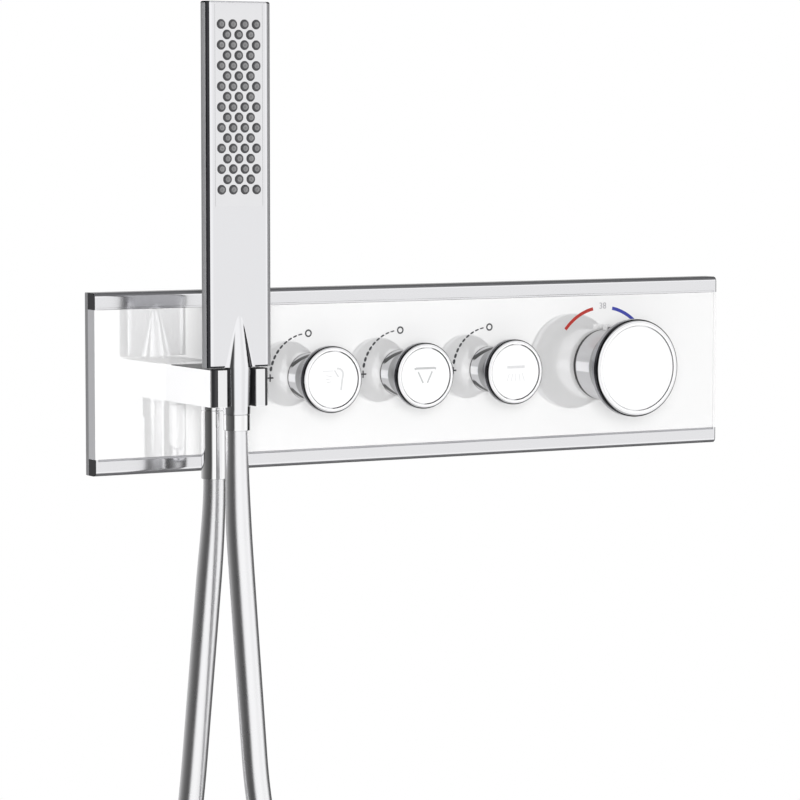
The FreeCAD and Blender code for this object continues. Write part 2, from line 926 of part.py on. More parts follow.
def arm_gasket():
    gasket_z = arm_top - arm_gasket_margin - seat_gap
    gasket_x = arm_half - arm_gasket_margin - seat_gap
    sheet = box(holder_x - gasket_x, holder_x + gasket_x, glass_y - arm_gasket_thickness, glass_y,
                -gasket_z, gasket_z)
    return sheet.cut(rod_y(holder_x, 0, nipple_radius + seat_gap, glass_y - overrun, glass_y + overrun))


def arm_nipple():
    return sleeve_y(holder_x, nipple_radius, nipple_bore, nipple_front_y, nipple_inset)


def hose_outlet():
    collar_end = arm_bottom - outlet_collar_height
    valve_seat = arm_bottom + outlet_spigot_length - outlet_valve_length
    outline = [
        (outlet_valve_radius + seat_gap, arm_bottom + outlet_spigot_length),
        (outlet_spigot_radius, arm_bottom + outlet_spigot_length),
        (outlet_spigot_radius, arm_bottom),
        (outlet_collar_radius, arm_bottom),
        (outlet_collar_radius, collar_end),
        (outlet_tail_radius, collar_end),
        (outlet_tail_radius, collar_end - outlet_tail_length),
        (outlet_bore, collar_end - outlet_tail_length),
        (outlet_bore, valve_seat),
        (outlet_valve_radius + seat_gap, valve_seat),
    ]
    return turned_z(outline, holder_x, outlet_axis_y)


def outlet_check_valve():
    valve_top = arm_bottom + outlet_spigot_length
    return rod_z(holder_x, outlet_axis_y, outlet_valve_radius, valve_top - outlet_valve_length, valve_top)


def lower_hose_nut():
    top = arm_bottom - outlet_collar_height
    tail = outlet_tail_radius + seat_gap
    tail_end = top - outlet_tail_length - seat_gap
    outline = [
        (tail, top),
        (lower_nut_radius - nut_chamfer, top),
        (lower_nut_radius, top - nut_chamfer),
        (lower_nut_radius, lower_nut_end),
        (lower_nut_bore, lower_nut_end),
        (lower_nut_bore, tail_end),
        (tail, tail_end),
    ]
    return turned_z(outline, holder_x, outlet_axis_y)


# Hand shower

flat_half = shower_width / 2 - shower_edge
shower_front_y = shower_axis_y - shower_thickness / 2
shower_back_y = shower_axis_y + shower_thickness / 2


def long_edge(side):
    # Half ellipse round one long edge of the bar, from one flat side to the other
    half_depth = shower_thickness / 2
    centre = Vector(holder_x + side * flat_half, shower_axis_y, shower_bottom)
    aside = centre + Vector(side * shower_edge, 0, 0)
    ahead = centre - Vector(0, half_depth, 0)
    if shower_edge > half_depth:
        return Part.Arc(Part.Ellipse(aside, ahead, centre), -math.pi / 2, math.pi / 2).toShape()
    return Part.Arc(Part.Ellipse(ahead, aside, centre), 0, math.pi).toShape()


def flat_side(y):
    left = Vector(holder_x - flat_half, y, shower_bottom)
    right = Vector(holder_x + flat_half, y, shower_bottom)
    return Part.LineSegment(left, right).toShape()


def hand_shower_shell():
    # Flat bar with full round edges and a tapered neck that stands proud of both faces
    section = Part.Wire([long_edge(1), flat_side(shower_front_y), long_edge(-1), flat_side(shower_back_y)])
    body = Part.Face(section).extrude(Vector(0, 0, shower_top - shower_bottom))
    neck = [
        (0, neck_end),
        (neck_end_radius, neck_end),
        (neck_wide_radius, shower_bottom),
        (neck_top_radius, neck_top),
        (0, neck_top),
    ]
    body = body.fuse(turned_z(neck, holder_x, shower_axis_y))
    cavity = box(holder_x - flat_half, holder_x + flat_half, shower_front_y + shower_wall,
                 shower_back_y - shower_wall, neck_top, spray_top - seat_gap)
    opening_x = spray_width / 2 + seat_gap
    opening = box(holder_x - opening_x, holder_x + opening_x, shower_front_y - overrun,
                  shower_axis_y, spray_bottom - seat_gap, spray_top + seat_gap)
    bore = rod_z(holder_x, shower_axis_y, neck_bore, neck_end - overrun, waterway_bottom)
    passage = rod_z(holder_x, shower_axis_y, waterway_radius + seat_gap, neck_end, neck_top + overrun)
    return cut_all(body, [cavity, opening, bore, passage]).removeSplitter()


def nozzle_places():
    # Rows of four and three in turn, set half a pitch apart
    places = []
    for row in range(nozzle_rows):
        count = 4 - row % 2
        for column in range(count):
            x = holder_x + (column - (count - 1) / 2) * nozzle_column_pitch
            places.append((x, nozzle_top - row * nozzle_row_pitch))
    return places


def ring_points(x, y, z, radius):
    angles = [2 * math.pi * (step + 1 / 2) / nozzle_sides for step in range(nozzle_sides)]
    return [Vector(x + radius * math.cos(angle), y, z + radius * math.sin(angle)) for angle in angles]


def nozzle_stub(x, z, front_y, front_radius, back_y, back_radius):
    base = ring_points(x, back_y, z, back_radius)
    tip = ring_points(x, front_y, z, front_radius)
    wires = [Part.makePolygon(points + points[:1]) for points in (base, tip)]
    return Part.makeLoft(wires, True, True)


spray_back_y = shower_front_y + spray_thickness
chamber_bottom = spray_bottom + chamber_inset


def spray_plate():
    # Plate with a hole for each nozzle
    edge = spray_width / 2
    plate = box(holder_x - edge, holder_x + edge, shower_front_y, spray_back_y, spray_bottom, spray_top)
    hole = nozzle_radius + seat_gap
    tools = []
    for x, z in nozzle_places():
        tools.append(nozzle_stub(x, z, shower_front_y - overrun, hole, spray_back_y + overrun, hole))
    return plate.cut(Part.makeCompound(tools))


def spray_nozzles():
    # Soft nozzles, each a short stub through the plate with a tapered tip
    stubs = []
    for x, z in nozzle_places():
        shank = nozzle_stub(x, z, shower_front_y, nozzle_radius, spray_back_y, nozzle_radius)
        tip = nozzle_stub(x, z, shower_front_y - nozzle_height, nozzle_tip_radius, shower_front_y, nozzle_radius)
        stubs.append(shank.fuse(tip))
    return stubs


def spray_chamber():
    # Tray behind the spray plate that spreads the water from the waterway
    half = spray_width / 2 - chamber_inset
    high = spray_top - chamber_inset
    back = spray_back_y + chamber_depth
    tray = box(holder_x - half, holder_x + half, spray_back_y, back, chamber_bottom, high)
    hollow = box(holder_x - half + chamber_wall, holder_x + half - chamber_wall, spray_back_y - overrun,
                 back - chamber_wall, chamber_bottom + chamber_wall, high - chamber_wall)
    inlet = rod_z(holder_x, shower_axis_y, chamber_inlet_radius, chamber_bottom - overrun,
                  chamber_bottom + chamber_wall + overrun)
    return cut_all(tray, [hollow, inlet])


def shower_waterway():
    inner = waterway_radius - waterway_wall
    outline = [
        (inner, waterway_bottom),
        (waterway_radius, waterway_bottom),
        (waterway_radius, chamber_bottom),
        (inner, chamber_bottom),
    ]
    return turned_z(outline, holder_x, shower_axis_y)


def flow_limiter():
    body = rod_z(holder_x, shower_axis_y, neck_bore - seat_gap, waterway_bottom - limiter_length, waterway_bottom)
    bore = rod_z(holder_x, shower_axis_y, limiter_bore, waterway_bottom - limiter_length - overrun,
                 waterway_bottom + overrun)
    return body.cut(bore)


def upper_hose_nut():
    spigot = neck_bore - seat_gap
    outline = [
        (upper_nut_bore, neck_end + upper_nut_spigot_length),
        (spigot, neck_end + upper_nut_spigot_length),
        (spigot, neck_end),
        (upper_nut_radius - nut_chamfer, neck_end),
        (upper_nut_radius, neck_end - nut_chamfer),
        (upper_nut_radius, upper_nut_end),
        (upper_nut_bore, upper_nut_end),
    ]
    return turned_z(outline, holder_x, shower_axis_y)


# Hose: from the lower nut down, round a hanging loop and up to the upper nut. Each point is its distance
# to the right of the holder's axis, then y and z.

hose_route = [
    (0, outlet_axis_y, lower_nut_end),
    (0, outlet_axis_y, -82.0),
    (-5.4, -44.0, -140.0),
    (-11.5, -44.0, -205.0),
    (-18.4, -44.0, -280.0),
    (-29.8, -44.1, -351.0),
    (-48.0, -44.8, -413.0),
    (-68.5, -46.1, -466.0),
    (-80.5, -48.3, -514.5),
    (-67.5, -51.5, -561.5),
    (-34.0, -55.9, -595.5),
    (12.0, -60.9, -608.5),
    (58.5, -65.9, -596.5),
    (92.5, -70.1, -562.5),
    (105.0, -73.1, -514.5),
    (90.0, -75.1, -466.0),
    (61.5, -76.1, -413.0),
    (34.0, -76.2, -351.0),
    (14.9, -76.2, -280.0),
    (9.4, -76.2, -205.0),
    (3.8, -76.2, -130.0),
    (0, shower_axis_y, -75.0),
    (0, shower_axis_y, upper_nut_end),
]


def rounded_path(corners):
    # Straight runs joined by tangent arcs, each as large as its two runs allow
    edges = []
    radii = []
    start = corners[0]
    for before, corner, after in zip(corners, corners[1:], corners[2:]):
        back = before - corner
        ahead = after - corner
        trim = bend_share * min(back.Length, ahead.Length)
        back.normalize()
        ahead.normalize()
        half_turn = (math.pi - back.getAngle(ahead)) / 2
        radius = trim / math.tan(half_turn)
        middle = back + ahead
        middle.normalize()
        centre = corner + middle * (radius / math.cos(half_turn))
        enter = corner + back * trim
        leave = corner + ahead * trim
        edges.append(Part.LineSegment(start, enter).toShape())
        edges.append(Part.Arc(enter, centre - middle * radius, leave).toShape())
        radii.append(radius)
        start = leave
    edges.append(Part.LineSegment(start, corners[-1]).toShape())
    return Part.Wire(edges), radii


def shower_hose():
    points = [Vector(holder_x + aside, y, z) for aside, y, z in hose_route]
    path, radii = rounded_path(points)
    circle = Part.Circle(points[0], points[1] - points[0], hose_radius)
    tube = path.makePipeShell([Part.Wire([circle.toShape()])], True, False)
    section = math.pi * hose_radius**2
    print("hose length", round(path.Length, 1), "volume over section times length",
          round(tube.Volume / (section * path.Length), 4))
    print("hose bend radii", [round(radius) for radius in radii])
    return tube


keep("top_rail", rail(1))
keep("bottom_rail", rail(-1))
keep("left_end_cap", end_cap(-1))
keep("right_end_cap", end_cap(1))
keep("front_panel", front_panel())
keep("carrier_plate", carrier_plate())
keep("wall_gasket", wall_gasket())
keep("mounting_frame", mounting_frame())
keep("body_screws", *body_screws())
keep("valve_body", valve_body())
keep("port_unions", *port_unions())
keep("inlet_filters", *inlet_filters())
keep("inlet_check_valves", *inlet_check_valves())
keep("cartridge_nuts", *[cartridge_nut(x) for x in knob_xs.values()])
keep("volume_cartridges", *[volume_cartridge(x) for x in knob_xs.values()])
keep("knob_collars", *[knob_collar(x) for x in knob_xs.values()])
for use, x in knob_xs.items():
    keep("volume_ring_" + use, volume_ring(x))
    keep("volume_spindle_" + use, volume_spindle(x))
    keep("volume_button_" + use, volume_button(x))
    keep("push_rod_" + use, push_rod(x))
    keep("button_spring_" + use, button_spring(x))
keep("thermostat_knob", thermostat_knob())
keep("thermostat_face", thermostat_face())
keep("knob_screw", knob_screw())
keep("thermostat_spindle", thermostat_spindle())
keep("safety_button", safety_button())
keep("safety_spring", safety_spring())
keep("panel_clamp_ring", clamp_ring())
keep("thermostat_sleeve", thermostat_sleeve())
keep("thermostat_nut", thermostat_nut())
keep("mixing_piston", mixing_piston())
keep("wax_element", wax_element())
keep("return_spring", return_spring())
keep("holder_arm", holder_arm())
keep("arm_grub_screw", arm_grub_screw())
keep("arm_gasket", arm_gasket())
keep("arm_nipple", arm_nipple())
keep("hose_outlet", hose_outlet())
keep("outlet_check_valve", outlet_check_valve())
keep("lower_hose_nut", lower_hose_nut())
keep("hand_shower_shell", hand_shower_shell())
keep("spray_plate", spray_plate())
keep("spray_nozzles", *spray_nozzles())
keep("spray_chamber", spray_chamber())
keep("shower_waterway", shower_waterway())
keep("flow_limiter", flow_limiter())
keep("upper_hose_nut", upper_hose_nut())
keep("shower_hose", shower_hose())
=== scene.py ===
import bmesh
import bpy
import json
import math
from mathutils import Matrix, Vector
from types import SimpleNamespace


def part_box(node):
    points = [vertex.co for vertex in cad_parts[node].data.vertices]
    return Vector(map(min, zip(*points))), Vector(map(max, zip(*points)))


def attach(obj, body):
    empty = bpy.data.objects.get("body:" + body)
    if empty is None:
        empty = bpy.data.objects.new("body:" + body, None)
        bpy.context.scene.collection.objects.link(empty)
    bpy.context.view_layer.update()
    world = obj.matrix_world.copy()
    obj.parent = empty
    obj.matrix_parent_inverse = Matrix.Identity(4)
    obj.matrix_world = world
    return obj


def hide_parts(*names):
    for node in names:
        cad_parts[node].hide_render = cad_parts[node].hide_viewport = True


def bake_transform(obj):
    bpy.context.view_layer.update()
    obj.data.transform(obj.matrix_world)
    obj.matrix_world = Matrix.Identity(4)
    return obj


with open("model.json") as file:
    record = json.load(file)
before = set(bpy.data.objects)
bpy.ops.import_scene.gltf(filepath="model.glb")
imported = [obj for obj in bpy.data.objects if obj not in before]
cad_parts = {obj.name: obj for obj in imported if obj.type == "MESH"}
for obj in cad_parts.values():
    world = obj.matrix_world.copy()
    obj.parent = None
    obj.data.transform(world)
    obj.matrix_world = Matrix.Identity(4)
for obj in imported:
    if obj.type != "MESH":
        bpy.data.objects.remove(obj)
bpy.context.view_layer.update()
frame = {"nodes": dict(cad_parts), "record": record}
nodes = frame["nodes"]
slotOf = {part["node"]: part["material_slot"] for part in frame["record"]["subparts"]}
scene = bpy.context.scene
uses = ("hand", "spout", "rain")
mm = 0.001
near = 0.01  # millimetres within which two places count as one
hair = 1e-6  # allowance for places in metres
print("frame loaded:", len(nodes), "nodes")


# places that the pieces share, read from the solids
def middleOf(node):
    low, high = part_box(node)
    return (low + high) / 2


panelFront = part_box("top_rail")[0].y
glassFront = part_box("front_panel")[0].y
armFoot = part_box("holder_arm")[0].z / mm
knobX = {use: middleOf("volume_ring_" + use).x for use in uses}
thermostatX = middleOf("thermostat_face").x
holderX = middleOf("hand_shower_shell").x
showerY = middleOf("hand_shower_shell").y
outletY = middleOf("hose_outlet").y
mixDark, mixLight, mixOut = 6, 7, 2  # a Mix node's sockets for colours


# shader maths: a Wire is a socket, and + - * / and abs of wires and numbers add Math nodes
class Wire:
    def __init__(self, tree, socket=None):
        self.tree, self.socket = tree, socket

    def node(self, kind, settings=None, inputs=None, out=0):
        made = self.tree.nodes.new(kind)
        for name, value in (settings or {}).items():
            if name == "stops":
                ramp = made.color_ramp.elements
                while len(ramp) < len(value):
                    ramp.new(1.0)
                for stop, (place, colour) in zip(ramp, value):
                    stop.position, stop.color = place, colour
            else:
                setattr(made, name, value)
        for key, value in (inputs or {}).items():
            if isinstance(value, Wire):
                self.tree.links.new(value.socket, made.inputs[key])
            else:
                made.inputs[key].default_value = value
        return Wire(self.tree, made.outputs[out])

    def maths(self, operation, left, right=0.0):
        return self.node("ShaderNodeMath", {"operation": operation}, {0: left, 1: right})

    def __add__(self, other): return self.maths("ADD", self, other)
    def __radd__(self, other): return self.maths("ADD", other, self)
    def __sub__(self, other): return self.maths("SUBTRACT", self, other)
    def __rsub__(self, other): return self.maths("SUBTRACT", other, self)
    def __mul__(self, other): return self.maths("MULTIPLY", self, other)
    def __rmul__(self, other): return self.maths("MULTIPLY", other, self)
    def __truediv__(self, other): return self.maths("DIVIDE", self, other)
    def __rtruediv__(self, other): return self.maths("DIVIDE", other, self)
    def __abs__(self): return self.maths("ABSOLUTE", self)

    def into(self, shader, name):
        self.tree.links.new(self.socket, shader.inputs[name])

    def parts(self, *names):
        # other outputs of the node that this wire comes from
        return [Wire(self.tree, self.socket.node.outputs[name]) for name in names]

    def noise(self, scale, detail):
        return self.node("ShaderNodeTexNoise", None, {"Vector": self, "Scale": scale, "Detail": detail})

    def swing(self, amount):
        return amount * (self - 0.5)  # noise lies about a half

    def stepped(self, low, high):
        return self.node("ShaderNodeMapRange", {"interpolation_type": "SMOOTHSTEP"},
                         {"Value": self, "From Min": low, "From Max": high})

    def mixed(self, dark, light):
        # the two ends are wires, or colours of three numbers
        dark, light = [end if isinstance(end, Wire) else (*end, 1.0) for end in (dark, light)]
        return self.node("ShaderNodeMix", {"data_type": "RGBA"},
                         {"Factor": self, mixDark: dark, mixLight: light}, mixOut)

    def bumped(self, strength, distance):
        return self.node("ShaderNodeBump", None, {"Strength": strength, "Distance": distance, "Height": self})


def newFinish(name, fixed=None, stretch=(1, 1, 1)):
    # a material with some fixed values: itself, the wire of its object coordinates, and its shader
    material = bpy.data.materials.new(name)
    material.use_nodes = True
    tree = material.node_tree
    shader = tree.nodes["Principled BSDF"]
    for socket, value in (fixed or {}).items():
        shader.inputs[socket].default_value = value
    place = Wire(tree).node("ShaderNodeTexCoord", out="Object")
    return material, place.node("ShaderNodeMapping", None, {"Vector": place, "Scale": stretch}), shader


metal = {"Metallic": 1.0}


def chromeFinish(name, light, dark, rough, smear, grain):
    # plated metal: faint cloudy smears in the polish and a slight change of tint
    fineness = 9
    material, place, shader = newFinish(name, metal)
    cloud = place.noise(grain, detail=4.0)
    fine = place.noise(grain * fineness, detail=2.0)
    cloud.mixed(dark, light).into(shader, "Base Color")
    (rough + smear * cloud * fine).into(shader, "Roughness")
    return material


def whiteFinish(name, light, dark, rough, ior, coat):
    # white lacquer or painted glass with a hard gloss
    cloudScale, fineScale, sway, coatRough = 14.0, 220.0, 0.02, 0.03
    material, place, shader = newFinish(name, {"IOR": ior, "Coat Weight": coat, "Coat Roughness": coatRough})
    place.noise(cloudScale, detail=3.0).mixed(dark, light).into(shader, "Base Color")
    (rough + sway * place.noise(fineScale, detail=2.0)).into(shader, "Roughness")
    return material


def mouldedFinish(name, light, dark, rough, scale, depth):
    # plastic or rubber with a fine moulded grain
    cloudShare, sway, bump = 0.12, 0.12, 0.35
    material, place, shader = newFinish(name)
    cloud = place.noise(scale * cloudShare, detail=3.0)
    grain = place.noise(scale, detail=3.0)
    cloud.mixed(dark, light).into(shader, "Base Color")
    (rough + grain.swing(sway)).into(shader, "Roughness")
    grain.bumped(bump, depth).into(shader, "Normal")
    return material


def castFinish(name, light, dark, rough, scale, depth):
    # cast metal: cloudy tarnish and a sandy skin
    cloudShare, tarnish, sway, sand, bump = 0.05, (0.35, 0.68), 0.25, 0.1, 0.4
    material, place, shader = newFinish(name, metal)
    cloud = place.noise(scale * cloudShare, detail=5.0)
    skin = place.noise(scale, detail=4.0)
    cloud.stepped(*tarnish).mixed(dark, light).into(shader, "Base Color")
    (rough + cloud.swing(sway) + sand * skin).into(shader, "Roughness")
    skin.bumped(bump, depth).into(shader, "Normal")
    return material


def brushedFinish(name, light, dark, rough, stretch):
    # sheet or wire with the lines of its rolling or drawing
    scale, sway, bump, depth = 60.0, 0.15, 0.12, 0.00005
    material, place, shader = newFinish(name, metal, stretch)
    lines = place.noise(scale, detail=3.0)
    lines.mixed(dark, light).into(shader, "Base Color")
    (rough + lines.swing(sway)).into(shader, "Roughness")
    lines.bumped(bump, depth).into(shader, "Normal")
    return material


def lacquerFinish(name, light, dark, rough, metallic):
    # silver lacquer: fine flakes in a satin coat
    flakeScale, flakeShare, cloudScale, sway = 1800.0, 0.6, 30.0, 0.1
    material, place, shader = newFinish(name, {"Metallic": metallic})
    flakes = place.noise(flakeScale, detail=2.0)
    cloud = place.noise(cloudScale, detail=3.0)
    (flakeShare * flakes + (1 - flakeShare) * cloud).mixed(dark, light).into(shader, "Base Color")
    (rough + cloud.swing(sway)).into(shader, "Roughness")
    return material


def inkFinish(name, colour):
    # screen print with slightly uneven ink
    scale, thin, rough, sway = 900.0, 0.86, 0.32, 0.1
    material, place, shader = newFinish(name)
    cloud = place.noise(scale, detail=2.0)
    cloud.mixed([thin * part for part in colour], colour).into(shader, "Base Color")
    (rough + sway * cloud).into(shader, "Roughness")
    return material


# necks of the knobs: a satin tone with a painted highlight band, painted shade at the foot and the end, and a painted
# dark reflection streak; where these change by height and by distance from the panel, in millimetres
neckSet = {"tone": 0.60, "cloud": 0.08, "cloudScale": 30.0, "bandLight": 0.34, "dim": 0.4, "dark": 0.92,
           "blue": 1.02, "rough": 0.38, "soft": 0.5, "bandSoft": 0.7, "footSoft": 0.2, "streakSoft": (0.6, 1.0)}
collarTone = {"band": 2.7, "bandFrom": 0.5, "bandTo": 10.3, "foot": 0.6, "dimFrom": 10.6,
              "streak": {"at": 8.5, "slope": 1.25, "wide": 3.5, "above": 7.0}}
skirtTone = {"band": 3.4, "bandFrom": 3.7, "bandTo": 20.0, "foot": 3.3, "dimFrom": 20.6, "streak": None}


def neckPaintedLight(name, tone):
    # a painted highlight band in the middle, painted shade at the foot and at the end near the cap, and on the collars
    # a slanting painted dark reflection streak
    s, t = SimpleNamespace(**neckSet), SimpleNamespace(**tone)
    material, place, shader = newFinish(name, {"Roughness": s.rough, "Metallic": 1.0})
    deep, up = place.node("ShaderNodeSeparateXYZ", None, {"Vector": place}).parts("Y", "Z")
    high, out = abs(up / mm), (panelFront - deep) / mm

    def past(wire, level, soft):
        return wire.stepped(level - soft, level + soft)

    along = past(out, t.bandFrom, s.soft) * (1 - past(out, t.bandTo, s.soft))
    band = (1 - past(high, t.band, s.bandSoft)) * along
    dark = 1 - past(out, t.foot, s.footSoft)
    if t.streak:
        streak = SimpleNamespace(**t.streak)
        aside = abs(out - streak.slope * high + streak.at)
        beside, above = s.streakSoft
        slant = (1 - past(aside, streak.wide, beside)) * past(high, streak.above, above)
        dark = dark.maths("MAXIMUM", slant, dark)
    light = s.tone + s.cloud * place.noise(s.cloudScale, detail=3.0) + s.bandLight * band
    light = light * (1 - s.dim * past(out, t.dimFrom, s.soft)) * (1 - s.dark * dark)
    light.node("ShaderNodeCombineColor", None, {0: light, 1: light, 2: light * s.blue}).into(shader, "Base Color")
    return material


# by slot or own name: the maker, light tone, dark tone, roughness, and what else the maker asks for
finishTable = {
    "rail_chrome": (chromeFinish, (0.89, 0.89, 0.905), (0.85, 0.85, 0.87), 0.10, 0.10, 9.0),
    "knob_chrome": (chromeFinish, (0.93, 0.93, 0.94), (0.88, 0.88, 0.895), 0.04, 0.08, 16.0),
    "arm_chrome": (chromeFinish, (0.97, 0.97, 0.975), (0.94, 0.94, 0.95), 0.03, 0.08, 14.0),
    "shower_chrome": (chromeFinish, (0.89, 0.89, 0.91), (0.86, 0.86, 0.88), 0.03, 0.06, 12.0),
    "spray_face": (chromeFinish, (0.91, 0.91, 0.925), (0.86, 0.86, 0.88), 0.04, 0.08, 60.0),
    "white_glass": (whiteFinish, (0.98, 0.98, 0.98), (0.965, 0.965, 0.97), 0.012, 4.0, 0.0),
    "button_white": (whiteFinish, (0.97, 0.97, 0.97), (0.95, 0.95, 0.955), 0.08, 1.5, 0.3),
    "plate_steel": (brushedFinish, (0.66, 0.67, 0.68), (0.52, 0.53, 0.55), 0.34, (0.4, 8.0, 14.0)),
    "screw_steel": (brushedFinish, (0.66, 0.66, 0.68), (0.48, 0.49, 0.52), 0.3, (9.0, 1.0, 9.0)),
    "filter_steel": (brushedFinish, (0.64, 0.64, 0.65), (0.42, 0.42, 0.44), 0.4, (12.0, 12.0, 12.0)),
    "rod_steel": (brushedFinish, (0.68, 0.68, 0.70), (0.55, 0.55, 0.57), 0.2, (9.0, 1.0, 9.0)),
    "spring_steel": (brushedFinish, (0.58, 0.59, 0.61), (0.42, 0.43, 0.46), 0.28, (4.0, 9.0, 4.0)),
    "seal_rubber": (mouldedFinish, (0.055, 0.055, 0.057), (0.028, 0.028, 0.03), 0.8, 700.0, 0.0002),
    "nozzle_silicone": (mouldedFinish, (0.075, 0.075, 0.079), (0.05, 0.05, 0.054), 0.42, 900.0, 0.00003),
    "frame_plastic": (mouldedFinish, (0.16, 0.16, 0.17), (0.11, 0.11, 0.12), 0.55, 800.0, 0.00006),
    "check_valve_plastic": (mouldedFinish, (0.82, 0.82, 0.79), (0.72, 0.72, 0.69), 0.45, 700.0, 0.00004),
    "cartridge_plastic": (mouldedFinish, (0.30, 0.31, 0.33), (0.22, 0.23, 0.25), 0.5, 700.0, 0.00004),
    "valve_brass": (castFinish, (0.78, 0.60, 0.29), (0.56, 0.39, 0.17), 0.34, 700.0, 0.00008),
    "wax_copper": (castFinish, (0.78, 0.45, 0.30), (0.55, 0.27, 0.17), 0.3, 500.0, 0.00004),
    "hose_silver": (lacquerFinish, (0.97, 0.97, 0.98), (0.92, 0.92, 0.935), 0.28, 1.0),
    # bare die casting behind the caps; black as painted dark reflection on the caps' grip band and at the rails' ends,
    # and as painted shade under the hand shower; white lip and turned band of the caps
    "capBack": (castFinish, (0.30, 0.30, 0.31), (0.22, 0.22, 0.23), 0.5, 900.0, 0.00003),
    "capSide": (chromeFinish, (0.055, 0.055, 0.06), (0.035, 0.035, 0.04), 0.16, 0.1, 40.0),
    "lipWhite": (whiteFinish, (0.97, 0.97, 0.97), (0.95, 0.95, 0.955), 0.06, 1.5, 0.3),
    "neckDark": (lacquerFinish, (0.40, 0.40, 0.42), (0.33, 0.33, 0.35), 0.28, 1.0),
    # satin at the panel's ends and painted grey reflection on the bar's long edges, nozzle tips, painted shade and
    # dark reflection on the arm, back of the bar
    "edgeSatin": (lacquerFinish, (0.31, 0.31, 0.32), (0.27, 0.27, 0.28), 0.42, 0.1),
    "nozzleTip": (mouldedFinish, (0.27, 0.27, 0.275), (0.19, 0.19, 0.195), 0.5, 900.0, 0.00003),
    "forkLiner": (mouldedFinish, (0.03, 0.03, 0.032), (0.02, 0.02, 0.022), 0.35, 800.0, 0.00003),
    "barBack": (lacquerFinish, (0.58, 0.58, 0.60), (0.52, 0.52, 0.54), 0.4, 0.2),
    # rounding along the rails and the thermostat's key, darkened as painted reflection and painted shade; step beside
    # the glass, ends of the panel and of the bar
    "railEdge": (lacquerFinish, (0.20, 0.20, 0.21), (0.165, 0.165, 0.175), 0.34, 0.3),
    "stepSatin": (lacquerFinish, (0.46, 0.46, 0.48), (0.42, 0.42, 0.44), 0.4, 0.2),
    "endSatin": (lacquerFinish, (0.60, 0.60, 0.62), (0.55, 0.55, 0.57), 0.45, 0.1),
    # painted highlight, painted shade and painted dark reflection on the knobs' collars and on the thermostat's skirt
    "collarSatin": (neckPaintedLight, collarTone),
    "skirtSatin": (neckPaintedLight, skirtTone),
    "markInk": (inkFinish, (0.06, 0.06, 0.065)),
    "hotInk": (inkFinish, (0.52, 0.045, 0.035)),
    "coldInk": (inkFinish, (0.045, 0.06, 0.42)),
    "icon_hand": (inkFinish, (0.72, 0.72, 0.73)),
    "icon_spout": (inkFinish, (0.56, 0.56, 0.57)),
    "icon_rain": (inkFinish, (0.76, 0.76, 0.77)),
    "numeralInk": (inkFinish, (0.42, 0.42, 0.44)),
}
finishes = {}
for key, (maker, *settings) in finishTable.items():
    first, *words = key.split("_")
    finishes[key] = maker(first + "".join(word.title() for word in words), *settings)
for nodeName, part in nodes.items():
    part.data.materials.clear()
    part.data.materials.append(finishes[slotOf[nodeName]])
print("finishes made:", len(finishes))


# objects and pieces
def addObject(name, data):
    made = bpy.data.objects.new(name, data)
    scene.collection.objects.link(made)
    return made


def finalMesh(carrier):
    # what a curve, a text or a modifier comes to as a mesh
    bpy.context.view_layer.update()
    return bpy.data.meshes.new_from_object(carrier.evaluated_get(bpy.context.evaluated_depsgraph_get()))


def newPiece(name, mesh, body, node=None):
    # a piece that rides on a body, and stands for a node where one is given
    piece = addObject(name, mesh)
    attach(piece, body)
    if node:
        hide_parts(node)
    return piece


def softPiece(name, mesh, node):
    # a piece in place of a node, on no body
    piece = addObject(name, mesh)
    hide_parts(node)
    return piece


def shadeSmooth(bm, sharpAngle):
    # smooth faces with sharp edges where the surface really turns
    for face in bm.faces:
        face.smooth = True
    for edge in bm.edges:
        edge.smooth = not (edge.is_manifold and edge.calc_face_angle(0) > math.radians(sharpAngle))


def meshFrom(bm, name, layers, sharpAngle=32):
    # layers are finishes in the order of the faces' material indices
    bmesh.ops.recalc_face_normals(bm, faces=bm.faces)
    shadeSmooth(bm, sharpAngle)
    mesh = bpy.data.meshes.new(name)
    bm.to_mesh(mesh)
    bm.free()
    for finish in layers:
        mesh.materials.append(finishes[finish])
    return mesh


def shapedPiece(name, bm, layers, body, node=None, sharpAngle=32):
    return newPiece(name, meshFrom(bm, name, layers, sharpAngle), body, node)


# shapes; in each function that makes one, s holds the settings of its piece
def allNear(values, level):
    return all(abs(value - level) < near for value in values)


def ease(t):
    t = min(1.0, max(0.0, t))
    return t * t * (3 - 2 * t)


def arcPoints(centre, radius, first, last, steps):
    # points on an arc, angles in degrees
    angles = [math.radians(first + (last - first) * i / steps) for i in range(steps + 1)]
    return [(centre[0] + radius * math.cos(a), centre[1] + radius * math.sin(a)) for a in angles]


def rounded(outline, steps=5):
    # closed outline of (u, v) or (u, v, radius): each radius becomes a true arc at its corner
    points = []
    for i, corner in enumerate(outline):
        at = Vector(corner[:2])
        radius = corner[2] if len(corner) > 2 else 0
        if radius <= 0:
            points.append(tuple(at))
            continue
        back = (Vector(outline[i - 1][:2]) - at).normalized()
        ahead = (Vector(outline[(i + 1) % len(outline)][:2]) - at).normalized()
        half = back.angle(ahead) / 2
        reach = radius / math.tan(half)
        centre = at + (back + ahead).normalized() * (radius / math.sin(half))
        first, last = at + back * reach - centre, at + ahead * reach - centre
        sweep = first.angle_signed(last)
        for step in range(steps + 1):
            angle = -sweep * step / steps
            cosine, sine = math.cos(angle), math.sin(angle)
            spoke = Vector((first.x * cosine - first.y * sine, first.x * sine + first.y * cosine))
            points.append(tuple(centre + spoke))
    return points


def roundedBox(left, right, low, high, radius):
    return rounded([(left, low, radius), (right, low, radius), (right, high, radius), (left, high, radius)])


def bridge(bm, ring, after):
    # four-sided faces between two closed rings of points
    for i in range(len(ring)):
        j = (i + 1) % len(ring)
        bm.faces.new([ring[i], ring[j], after[j], after[i]])


